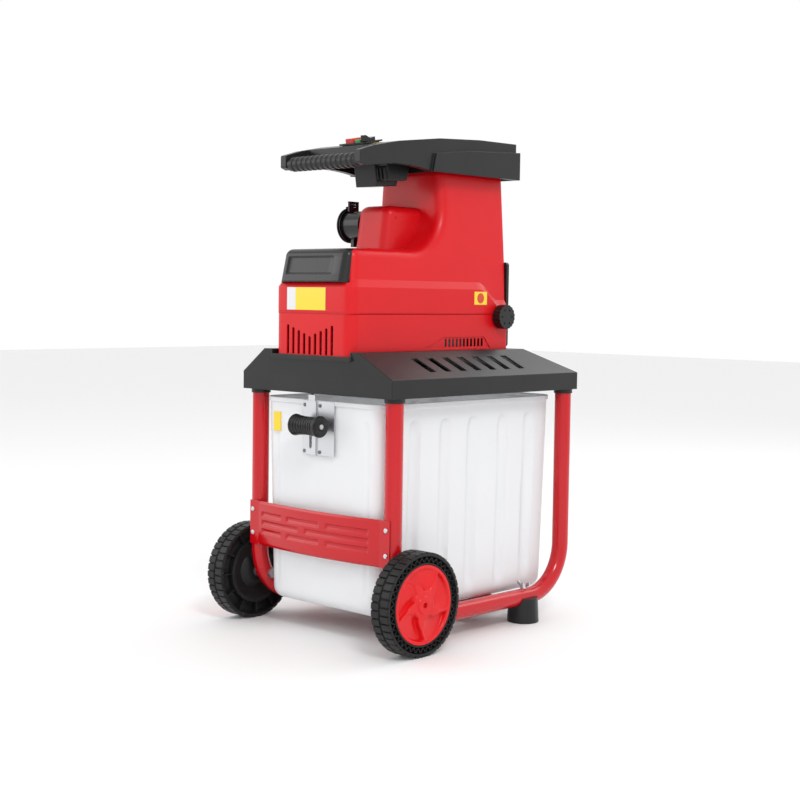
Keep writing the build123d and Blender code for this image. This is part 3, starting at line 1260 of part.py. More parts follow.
fan_r = 50.0
fan_wide = 14.0
fan_back_y = motor_front_y - 4.0
rotor_margin = 4.0
with BuildPart() as motor_rotor:
    with BuildSketch(Plane.XZ.offset(-motor_back_y + shield_thick + rotor_margin)):
        with Locations((motor_x, motor_z)):
            Circle(rotor_d / 2)
    extrude(amount=motor_length - 2 * shield_thick - 2 * rotor_margin)
    with BuildSketch(Plane.XZ.offset(-stage_one_y + 1)):
        with Locations((motor_x, motor_z)):
            Circle(motor_shaft_d / 2)
    extrude(amount=stage_one_y - 1 - fan_back_y + fan_wide)
    add(toothed_disc((motor_x, motor_z), stage_one_y + gear_wide, gear_wide + 1, pinion_r, pinion_teeth, 0))
    with BuildSketch(Plane.XZ.offset(-fan_back_y)):                              # cooling fan
        with Locations((motor_x, motor_z)):
            Circle(fan_r)
    extrude(amount=2.5)
    with BuildSketch(Plane.XZ.offset(-fan_back_y)):
        with Locations((motor_x, motor_z)):
            Circle(12.0)
            with PolarLocations(fan_r / 2 + 6, 9):
                Rectangle(fan_r - 14, 2.5)
    extrude(amount=fan_wide)
motor_rotor.part.label = "motor_rotor"
export_step(motor_rotor.part, "parts/motor_rotor.step")

capacitor_x = -78.0
with BuildPart() as capacitor:
    with Locations(Location((capacitor_x, motor_front_y + 20, pocket_z + housing_wall + 19), (90, 0, 0))):
        Cylinder(17.5, 70, align=(Align.CENTER, Align.CENTER, Align.MAX))
    fillet(capacitor.edges().filter_by(GeomType.CIRCLE), radius=2)
capacitor.part.label = "capacitor"
export_step(capacitor.part, "parts/capacitor.step")

# ---------------------------------------------------------------- pressure plate, adjusting screw, knob
plate_gap = 1.5                                    # between the roller's tips and the plate, wound right in
plate_thick = 22.0
plate_low_z = knob_z - 12.0
plate_high_z = roller_z + roller_d / 2
plate_x = roller_x + roller_d / 2 + plate_gap
screw_bite = 8.0                                   # screw's length inside the plate, wound right in
knob_x = half_low + 2.5
knob_thick = 17.0
with BuildPart() as pressure_plate:
    with Locations((plate_x, roller_front_y, plate_low_z)):
        Box(plate_thick, roller_length, plate_high_z - plate_low_z, align=(Align.MIN, Align.MIN, Align.MIN))
    fillet(pressure_plate.edges().filter_by(Axis.Y), radius=3)
    with Locations(Location((plate_x + plate_thick, knob_y, knob_z), (0, 90, 0))):
        Cylinder(screw_d / 2 + run_fit, screw_bite + plate_travel + 1,
                 align=(Align.CENTER, Align.CENTER, Align.MAX), mode=Mode.SUBTRACT)
pressure_plate.part.label = "pressure_plate"
export_step(pressure_plate.part, "parts/pressure_plate.step")

with BuildPart() as adjusting_screw:
    with Locations(Location((plate_x + plate_thick - screw_bite, knob_y, knob_z), (0, 90, 0))):
        Cylinder(screw_d / 2, knob_x + knob_thick - 5 - plate_x - plate_thick + screw_bite,
                 align=(Align.CENTER, Align.CENTER, Align.MIN))
adjusting_screw.part.label = "adjusting_screw"
export_step(adjusting_screw.part, "parts/adjusting_screw.step")

with BuildPart() as adjusting_knob:
    knob_plane = Plane(origin=(knob_x, knob_y, knob_z), x_dir=(0, 1, 0), z_dir=(1, 0, 0))
    with BuildSketch(knob_plane):
        Circle(knob_d / 2)
        with PolarLocations(knob_d / 2 + 1.2, 18):
            Circle(2.4, mode=Mode.SUBTRACT)
    extrude(amount=knob_thick)
    with BuildSketch(knob_plane.offset(knob_thick)):
        with PolarLocations(knob_d / 2 - 9, 6):
            Circle(2.0)
    extrude(amount=-6, mode=Mode.SUBTRACT)
    with BuildSketch(knob_plane):
        Circle(screw_d / 2)
    extrude(amount=knob_thick - 5, mode=Mode.SUBTRACT)
adjusting_knob.part.label = "adjusting_knob"
export_step(adjusting_knob.part, "parts/adjusting_knob.step")

# ---------------------------------------------------------------- feed liner from the throat to the roller
liner_wall = 2.5


def liner_block(inset, reach):
    """The liner's tapered block, moved in by inset and lengthened by reach at both ends."""
    with BuildPart() as block:
        with BuildSketch(Plane.XY.offset(chamber_high_z - reach)):
            with Locations((0, (chamber_front_y + chamber_back_y + frame_plate) / 2)):
                Rectangle(2 * (chamber_half - 8 - inset), chamber_back_y - chamber_front_y - 4 - 2 * inset)
        with BuildSketch(Plane.XY.offset(throat_z - slide_gap + reach)):
            with Locations((0, (throat_front_y + throat_back_y) / 2)):
                Rectangle(2 * (throat_half - inset), throat_back_y - throat_front_y - 2 * inset)
        loft()
    return block.part


with BuildPart() as feed_liner:
    add(liner_block(0, 0))
    add(liner_block(liner_wall, 0.5), mode=Mode.SUBTRACT)
feed_liner.part.label = "feed_liner"
export_step(feed_liner.part, "parts/feed_liner.step")

# ---------------------------------------------------------------- rear panel and labels
panel_thick = 7.0
panel_low_z = 531.0
panel_high_z = 697.0
panel_half = 96.0
with BuildPart() as rear_panel:
    with BuildSketch(Plane.XZ.offset(-rear_y - panel_thick)):
        with Locations((0, (panel_low_z + panel_high_z) / 2)):
            RectangleRounded(2 * panel_half, panel_high_z - panel_low_z, 6)
    extrude(amount=panel_thick)
    for spot_x in (-panel_half + 10, panel_half - 10):
        for spot_z in (panel_low_z + 10, panel_high_z - 10):
            with Locations(Location((spot_x, rear_y + panel_thick, spot_z), (90, 0, 0))):
                Cylinder(2.2, 20, mode=Mode.SUBTRACT)
rear_panel.part.label = "rear_panel"
export_step(rear_panel.part, "parts/rear_panel.step")

with BuildPart() as cover_screws:
    with Locations(*[(x, grip_y + grip_d / 2 - 6, grip_z - grip_d / 2 + 5) for x in grip_screw_x]):
        Cylinder(3.4, 3, align=(Align.CENTER, Align.CENTER, Align.MIN))
    for spot_x in (-panel_half + 10, panel_half - 10):
        for spot_z in (panel_low_z + 10, panel_high_z - 10):
            with Locations(Location((spot_x, rear_y + panel_thick, spot_z), (-90, 0, 0))):
                Cylinder(4.0, 2.4, align=(Align.CENTER, Align.CENTER, Align.MIN))
                Cylinder(2.1, panel_thick, align=(Align.CENTER, Align.CENTER, Align.MAX))
cover_screws.part.label = "cover_screws"
export_step(cover_screws.part, "parts/cover_screws.step")
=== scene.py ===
"""Studio scene of an electric roller wood chipper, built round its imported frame.

Every new piece is worked out in millimetres with numpy and stored in metres, in the frame's own axes:
+Z up, -Y towards the handle and wheels, +X towards the adjusting knob.
"""

import logging
import math
from dataclasses import dataclass, field
from enum import Enum
from typing import Callable, Optional, Sequence

import bmesh
import bpy
import numpy as np
from mathutils import Matrix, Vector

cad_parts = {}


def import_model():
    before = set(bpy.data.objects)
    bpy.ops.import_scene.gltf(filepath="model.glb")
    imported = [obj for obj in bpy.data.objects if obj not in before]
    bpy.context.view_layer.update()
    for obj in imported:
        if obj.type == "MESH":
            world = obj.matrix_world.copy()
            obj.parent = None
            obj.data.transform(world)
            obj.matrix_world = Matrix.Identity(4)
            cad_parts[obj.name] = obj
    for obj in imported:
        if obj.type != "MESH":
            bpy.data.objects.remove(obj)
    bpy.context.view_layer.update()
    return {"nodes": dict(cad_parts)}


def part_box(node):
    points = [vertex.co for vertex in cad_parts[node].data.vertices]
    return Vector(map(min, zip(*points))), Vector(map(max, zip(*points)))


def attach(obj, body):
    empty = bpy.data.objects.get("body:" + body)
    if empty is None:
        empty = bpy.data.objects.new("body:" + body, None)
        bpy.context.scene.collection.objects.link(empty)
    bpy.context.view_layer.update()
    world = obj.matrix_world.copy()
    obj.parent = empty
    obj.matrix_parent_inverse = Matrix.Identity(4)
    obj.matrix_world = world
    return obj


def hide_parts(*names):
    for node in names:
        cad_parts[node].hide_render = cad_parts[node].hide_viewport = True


LOG = logging.getLogger("chipper")
MM = 0.001
Array = np.ndarray


# ---------------------------------------------------------------- finishes
class Grain(Enum):
    """The kinds of surface that a finish can have."""

    FINE = (1400.0, 0.05)
    LEATHER = (700.0, 0.14)
    POLISHED = (60.0, 0.015)
    BRUSHED = (500.0, 0.05)
    CAST = (300.0, 0.2)


@dataclass(frozen=True)
class Finish:
    """A procedural finish.

    Attributes:
        title: name of the material.
        colour: linear base colour.
        roughness: mean roughness.
        grain: scale and strength of the fine surface.
        metal: 0 for plastic and paint, 1 for bare metal.
        coat: strength of a clear gloss coat.
        mottle: how much the colour wanders over some centimetres.
        edge: radius in metres to which hard edges are softened in shading.
        glow: weight of light passing diffusely through the wall.
        shine: level of the surface's reflection, 0.5 for common plastic.
    """

    title: str
    colour: tuple[float, float, float]
    roughness: float
    grain: Grain
    metal: float = 0.0
    coat: float = 0.0
    mottle: float = 0.06
    edge: float = 0.0008
    glow: float = 0.0
    shine: float = 0.5

    def material(self) -> bpy.types.Material:
        """Returns the Blender material, made on first use.

        Returns:
            A node material with wandering colour and roughness, a fine bump and softened edges.
        """
        known = bpy.data.materials.get(self.title)
        if known:
            return known
        made = bpy.data.materials.new(self.title)
        made.use_nodes = True
        nodes, links = made.node_tree.nodes, made.node_tree.links
        shader = nodes["Principled BSDF"]
        shader.inputs["Metallic"].default_value = self.metal
        shader.inputs["Specular IOR Level"].default_value = self.shine
        shader.inputs["Coat Weight"].default_value = self.coat
        shader.inputs["Coat Roughness"].default_value = 0.08
        place = nodes.new("ShaderNodeTexCoord").outputs["Object"]

        cloud = nodes.new("ShaderNodeTexNoise")
        cloud.inputs["Scale"].default_value = 14.0
        cloud.inputs["Detail"].default_value = 5.0
        links.new(place, cloud.inputs["Vector"])
        tone = nodes.new("ShaderNodeMix")
        tone.data_type = "RGBA"
        dark = [c * (1 - self.mottle) for c in self.colour]
        pale = [min(1.0, c * (1 + self.mottle) + 0.02 * self.mottle) for c in self.colour]
        tone.inputs["A"].default_value = (*dark, 1)
        tone.inputs["B"].default_value = (*pale, 1)
        links.new(cloud.outputs["Fac"], tone.inputs["Factor"])
        links.new(tone.outputs["Result"], shader.inputs["Base Color"])

        wear = nodes.new("ShaderNodeMapRange")
        wear.inputs["To Min"].default_value = self.roughness * 0.88
        wear.inputs["To Max"].default_value = min(1.0, self.roughness * 1.12)
        links.new(cloud.outputs["Fac"], wear.inputs["Value"])
        links.new(wear.outputs["Result"], shader.inputs["Roughness"])

        soft = nodes.new("ShaderNodeBevel")
        soft.samples = 4
        soft.inputs["Radius"].default_value = self.edge
        scale, strength = self.grain.value
        speck = nodes.new("ShaderNodeTexNoise")
        speck.inputs["Scale"].default_value = scale
        speck.inputs["Detail"].default_value = 2.0
        links.new(place, speck.inputs["Vector"])
        bump = nodes.new("ShaderNodeBump")
        bump.inputs["Strength"].default_value = strength
        bump.inputs["Distance"].default_value = 0.0004
        links.new(speck.outputs["Fac"], bump.inputs["Height"])
        links.new(soft.outputs["Normal"], bump.inputs["Normal"])
        links.new(bump.outputs["Normal"], shader.inputs["Normal"])
        if self.glow:
            milky = nodes.new("ShaderNodeBsdfTranslucent")
            milky.inputs["Color"].default_value = (0.95, 0.96, 0.97, 1)
            both = nodes.new("ShaderNodeMixShader")
            both.inputs["Fac"].default_value = self.glow
            links.new(shader.outputs["BSDF"], both.inputs[1])
            links.new(milky.outputs["BSDF"], both.inputs[2])
            links.new(both.outputs["Shader"], nodes["Material Output"].inputs["Surface"])
        return made


RED_SHELL = Finish("red shell plastic", (0.6, 0.002, 0.006), 0.36, Grain.LEATHER, coat=0.05, edge=0.0012,
                   shine=0.3)
RED_PAINT = Finish("red gloss paint", (0.5, 0.001, 0.006), 0.2, Grain.POLISHED, coat=0.35, mottle=0.03,
                   shine=0.3)
RED_HUB = Finish("red hub plastic", (0.66, 0.003, 0.006), 0.34, Grain.FINE, coat=0.1, shine=0.3)
CHARCOAL = Finish("charcoal plastic", (0.0085, 0.0088, 0.0095), 0.34, Grain.LEATHER, coat=0.05, edge=0.0025,
                  mottle=0.2, shine=0.32)
BLACK_SATIN = Finish("black satin plastic", (0.007, 0.007, 0.0075), 0.27, Grain.FINE, coat=0.1, mottle=0.1,
                     shine=0.35)
WHEEL_BLACK = Finish("wheel plastic", (0.008, 0.008, 0.0085), 0.46, Grain.LEATHER, mottle=0.12, shine=0.3)
MILKY = Finish("milky bin plastic", (0.96, 0.97, 0.985), 0.3, Grain.FINE, coat=0.2, mottle=0.01, glow=0.35)
ZINC = Finish("zinc plate", (0.62, 0.63, 0.65), 0.32, Grain.BRUSHED, metal=1.0, mottle=0.08, edge=0.0003)
DARK_STEEL = Finish("oiled steel", (0.16, 0.16, 0.17), 0.36, Grain.CAST, metal=1.0, mottle=0.15)
ALUMINIUM = Finish("cast aluminium", (0.55, 0.56, 0.57), 0.4, Grain.CAST, metal=1.0)
BRASS = Finish("brass", (0.6, 0.42, 0.16), 0.25, Grain.POLISHED, metal=1.0)
RED_KEY = Finish("red key", (0.6, 0.01, 0.01), 0.25, Grain.POLISHED, coat=0.4, edge=0.0006)
GREEN_KEY = Finish("green key", (0.01, 0.26, 0.05), 0.25, Grain.POLISHED, coat=0.4, edge=0.0006)
STICKER_YELLOW = Finish("yellow sticker", (0.85, 0.6, 0.01), 0.3, Grain.POLISHED, coat=0.3, mottle=0.02)
STICKER_GREY = Finish("pale sticker", (0.68, 0.69, 0.7), 0.3, Grain.POLISHED, coat=0.3, mottle=0.02)
STICKER_RED = Finish("sticker red", (0.6, 0.05, 0.02), 0.3, Grain.POLISHED, mottle=0.02)


# ---------------------------------------------------------------- surfaces
def quads(rows: int, cols: int, start: int = 0, wrap: bool = False, keep: Optional[Array] = None) -> Array:
    """Corner numbers of the quads of a grid of rows by cols points, numbered row by row.

    Args:
        rows: rows of points.
        cols: points in a row.
        start: number of the first point.
        wrap: join the last column to the first.
        keep: rows-1 by columns truth table of the quads that stay.

    Returns:
        An array of four corner numbers per quad.
    """
    row, col = np.meshgrid(np.arange(rows - 1), np.arange(cols if wrap else cols - 1), indexing="ij")
    if keep is not None:
        row, col = row[keep], col[keep]
    row, col = row.ravel(), col.ravel()
    nxt = (col + 1) % cols
    here, above = row * cols, (row + 1) * cols
    return start + np.stack([here + col, here + nxt, above + nxt, above + col], 1)


def smooth(x: Array) -> Array:
    """A cubic step from 0 to 1 as x goes from 0 to 1."""
    t = np.clip(x, 0, 1)
    return t * t * (3 - 2 * t)


def bump_between(x: Array, low: float, high: float, edge: float) -> Array:
    """1 between low and high, easing to 0 over a distance edge outside them."""
    return smooth((x - low + edge) / edge) * smooth((high + edge - x) / edge)


def rounding(distance: Array, radius: float) -> Array:
    """How far an edge rounded by a radius falls back at a distance from the end."""
    return radius * (1 - np.sqrt(np.clip(1 - (1 - distance / radius).clip(0) ** 2, 0, 1)))


@dataclass
class Surface:
    """Points and faces of one piece, gathered patch by patch."""

    points: list[Array] = field(default_factory=list)
    faces: list[Array] = field(default_factory=list)
    count: int = 0

    def grid(self, grid: Array, wrap: bool = False, keep: Optional[Array] = None) -> "Surface":
        """Adds a grid of points and its quads.

        Args:
            grid: rows x columns x 3 points, in millimetres.
            wrap: join the last column to the first.
            keep: truth table of the quads that stay.

        Returns:
            This surface.
        """
        rows, cols = grid.shape[:2]
        self.faces.append(quads(rows, cols, self.count, wrap, keep))
        self.points.append(grid.reshape(-1, 3))
        self.count += rows * cols
        return self

    def fan(self, ring: Array, middle: Array) -> "Surface":
        """Adds triangles from a closed ring of points to its middle.

        Args:
            ring: n x 3 points.
            middle: the middle, as one point or a row of one.

        Returns:
            This surface.
        """
        size = len(ring)
        near = np.arange(size)
        far = (near + 1) % size
        self.faces.append(self.count + np.stack([near, far, np.full(size, size)], 1))
        self.points.append(np.vstack([ring, middle]))
        self.count += size + 1
        return self

    def blocks(self, corners: Array) -> "Surface":
        """Adds six-sided blocks.

        Args:
            corners: n x 8 x 3 points: four corners of one end, then of the other.

        Returns:
            This surface.
        """
        size = len(corners)
        side = np.array([[0, 3, 2, 1], [4, 5, 6, 7], [0, 1, 5, 4], [1, 2, 6, 5], [2, 3, 7, 6], [3, 0, 4, 7]])
        self.faces.append((self.count + 8 * np.arange(size)[:, None, None] + side).reshape(-1, 4))
        self.points.append(corners.reshape(-1, 3))
        self.count += 8 * size
        return self

    def piece(self, name: str, sharp: float = 35.0, weld: float = 0.02) -> bpy.types.Object:
        """Makes the Blender object: welded, facing outwards, smooth except at sharp edges.

        Args:
            name: name of the piece.
            sharp: angle in degrees above which an edge stays hard.
            weld: distance in millimetres within which points are joined.

        Returns:
            The object, at the origin, with its place in its mesh.
        """
        mesh = bpy.data.meshes.new(name)
        faces = [face for patch in self.faces for face in patch.tolist()]
        mesh.from_pydata((np.vstack(self.points) * MM).tolist(), [], faces)
        work = bmesh.new()
        work.from_mesh(mesh)
        bmesh.ops.remove_doubles(work, verts=work.verts, dist=weld * MM)
        bmesh.ops.dissolve_degenerate(work, edges=work.edges, dist=weld * MM / 4)
        bmesh.ops.recalc_face_normals(work, faces=work.faces)
        work.to_mesh(mesh)
        work.free()
        mesh.shade_smooth()
        mesh.set_sharp_from_angle(angle=math.radians(sharp))
        made = bpy.data.objects.new(name, mesh)
        bpy.context.scene.collection.objects.link(made)
        return made


def thicken(piece: bpy.types.Object, wall: float) -> bpy.types.Object:
    """Gives a sheet a wall inwards.

    Args:
        piece: the sheet.
        wall: thickness in millimetres.

    Returns:
        The same piece.
    """
    solid = piece.modifiers.new("wall", "SOLIDIFY")
    solid.thickness = wall * MM
    solid.offset = -1.0
    return piece


def mount(piece: bpy.types.Object, finish: Finish, body: str, slot: str, *nodes: str) -> bpy.types.Object:
    """Dresses a piece, rides it on its body and lets it stand for CAD nodes.

    Args:
        piece: the new piece.
        finish: what it is dressed in.
        body: the CAD body that it moves with.
        slot: the record's material slot; not used.
        nodes: CAD nodes that it stands for.

    Returns:
        The same piece.
    """
    piece.data.materials.clear()
    piece.data.materials.append(finish.material())
    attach(piece, body)
    if nodes:
        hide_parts(*nodes)
    LOG.info("%s: %d faces on %s", piece.name, len(piece.data.polygons), body)
    return piece


def turned(profile: Array, centre: Sequence[float], steps: int) -> Surface:
    """A body of revolution about an axis along X, with closed ends.

    Each profile point (x, r) becomes a ring: (x, centre_y + r cos a, centre_z + r sin a) for a whole turn.

    Args:
        profile: n x 2 array of x and radius, in millimetres.
        centre: y and z of the axis.
        steps: points in a ring.

    Returns:
        The surface.
    """
    angle = np.linspace(0, 2 * np.pi, steps, endpoint=False)
    x = np.repeat(profile[:, :1], steps, 1)
    y = centre[0] + profile[:, 1:] * np.cos(angle)
    z = centre[1] + profile[:, 1:] * np.sin(angle)
    rings = np.stack([x, y, z], 2)
    made = Surface().grid(rings, wrap=True)
    for ring in (rings[0], rings[-1]):
        made.fan(ring, ring.mean(0, keepdims=True))
    return made


def box_mm(node: str) -> tuple[Array, Array]:
    """The low and high corner of a CAD node, in millimetres."""
    low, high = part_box(node)
    return np.array(low) / MM, np.array(high) / MM


def tube_along(path: Array, radius: float, steps: int = 40) -> Surface:
    """A round tube along a path in a plane of constant x: each ring lies across the path's tangent.

    Args:
        path: n x 3 points.
        radius: outer radius.
        steps: points in a ring.

    Returns:
        The tube's outer surface, with flat ends.
    """
    tangent = np.gradient(path, axis=0)
    tangent /= np.linalg.norm(tangent, axis=1, keepdims=True)
    across = np.tile([1.0, 0.0, 0.0], (len(path), 1))
    third = np.cross(tangent, across)
    angle = np.linspace(0, 2 * np.pi, steps, endpoint=False)
    rings = path[:, None] + radius * (across[:, None] * np.cos(angle)[None, :, None]
                                      + third[:, None] * np.sin(angle)[None, :, None])
    made = Surface().grid(rings, wrap=True)
    made.fan(rings[0], path[0])
    return made.fan(rings[-1], path[-1])


def rounded_outline(half_x: Array, half_y: Array, corner: Array, mid_y: float, side: int = 40,
                    arc: int = 10) -> tuple[Array, Array, Array]:
    """Rounded rectangles, one per row: straight sides joined by quarter circles.

    Args:
        half_x: half widths, one per row.
        half_y: half depths, one per row.
        corner: corner radii, one per row.
        mid_y: y of the middle.
        side: points on each side.
        arc: points on each corner.

    Returns:
        x and y of every point, rows by points, and the outward direction as rows x points x 2.
    """
    hx, hy, r = (np.asarray(v, float)[:, None] for v in (half_x, half_y, corner))
    along = np.linspace(-1, 1, side)
    turn = np.linspace(0, np.pi / 2, arc + 2)[1:-1]
    xs, ys, ns = [], [], []
    for step in range(4):
        start = step * np.pi / 2
        sx, sy = ((hx, along * (hy - r)), (-along * (hx - r), hy), (-hx, -along * (hy - r)),
                  (along * (hx - r), -hy))[step]
        xs.append(np.broadcast_to(sx, (len(hx), side)))
        ys.append(np.broadcast_to(sy, (len(hx), side)))
        ns.append(np.tile([math.cos(start), math.sin(start)], (len(hx), side, 1)))
        cx = (hx - r) * (1, -1, -1, 1)[step]
        cy = (hy - r) * (1, 1, -1, -1)[step]
        xs.append(cx + r * np.cos(start + turn))
        ys.append(cy + r * np.sin(start + turn))
        ns.append(np.tile(np.stack([np.cos(start + turn), np.sin(start + turn)], 1), (len(hx), 1, 1)))
    return np.hstack(xs), np.hstack(ys) + mid_y, np.concatenate(ns, 1)


# ---------------------------------------------------------------- housing
@dataclass
class Wrap:
    """A shell that wraps over a profile in the YZ plane and rounds into two flat sides.

    The skin follows profile points C with outward directions n. Across the middle it runs straight along X.
    At each side it turns through a quarter circle of radius R about the inner line P = C - R n, so a point of
    the turn at angle q is P + R cos(q) n, with x = half width - R + R sin(q).
    """

    half_width: Callable[[Array, Array], Array]
    turn_steps: int = 8
    flat_steps: int = 12
    flat_at: Optional[Array] = None

    def columns(self) -> tuple[Array, Array]:
        """Returns the share of the flat width and the turn angle of each column."""
        turn = np.linspace(0, np.pi / 2, self.turn_steps + 1)
        flat = np.linspace(-1, 1, self.flat_steps + 1) if self.flat_at is None else self.flat_at
        share = np.concatenate([-np.ones(self.turn_steps), flat, np.ones(self.turn_steps)])
        angle = np.concatenate([-turn[:0:-1], np.zeros(len(flat)), turn[1:]])
        return share, angle

    def skin(self, line: Array, normal: Array, radius: Array) -> Array:
        """Points of the skin.

        Args:
            line: n x 2 points (y, z) of the profile.
            normal: n x 2 outward directions.
            radius: n rounding radii.

        Returns:
            An n x columns x 3 grid.
        """
        share, angle = self.columns()
        inner = line - radius[:, None] * normal
        y = inner[:, :1] + radius[:, None] * np.cos(angle) * normal[:, :1]
        z = inner[:, 1:] + radius[:, None] * np.cos(angle) * normal[:, 1:]
        half = self.half_width(y, z)
        r = radius[:, None]
        x = share * (half - r) + r * np.sin(angle)
        return np.stack([x, y, z], 2)


def hood(rise: Array, front: tuple[float, float], back: float, top: float, radius: float, half: float,
         mid_x: float = 0.0, flat_at: Optional[Array] = None,
         press: Optional[Callable[[Array], Array]] = None) -> Surface:
    """A cover with a leaning front that rounds into its top and both sides.

    Args:
        rise: heights of the rows of the front.
        front: y at the front's foot and at its last row.
        back: y of the open back.
        top: height of the top.
        radius: rounding radius.
        half: half width.
        mid_x: x of the middle.
        flat_at: shares of the flat width for the columns.
        press: changes the skin's points before it is added.

    Returns:
        The surface, open below and behind.
    """
    face = np.stack([front[0] + (front[1] - front[0]) * (rise - rise[0]) / (rise[-1] - rise[0]), rise], 1)
    lean = math.atan2(front[1] - front[0], rise[-1] - rise[0])
    turn = np.linspace(np.pi - lean, np.pi / 2, 10)[1:]
    tilt = np.array([-math.cos(lean), math.sin(lean)])
    knee = face[-1] - radius * tilt
    way = np.stack([np.cos(turn), np.sin(turn)], 1)
    knee[1] = top - radius
    corner = knee + radius * way
    run = np.linspace(knee[0], back, 12)[1:]
    line = np.vstack([face, corner, np.stack([run, np.full(len(run), top)], 1)])
    normal = np.vstack([np.tile(tilt, (len(face), 1)), way, np.tile([0.0, 1.0], (len(run), 1))])
    wrap = Wrap(lambda y, z: np.full(np.broadcast(y, z).shape, half), flat_at=flat_at)
    skin = wrap.skin(line, normal, np.full(len(line), radius))
    if press:
        skin = press(skin)
    inner = face - radius * tilt
    inner[-1] = knee
    share = np.concatenate([[0.0], (run - knee[0]) / (back - knee[0])])
    skin[..., 0] += mid_x
    made = Surface().grid(skin)
    for sign in (-1.0, 1.0):
        y = inner[:, :1] + share * (back - inner[:, :1])
        z = np.repeat(inner[:, 1:], len(share), 1)
        made.grid(np.stack([np.full_like(y, mid_x + sign * half), y, z], 2))
    return made


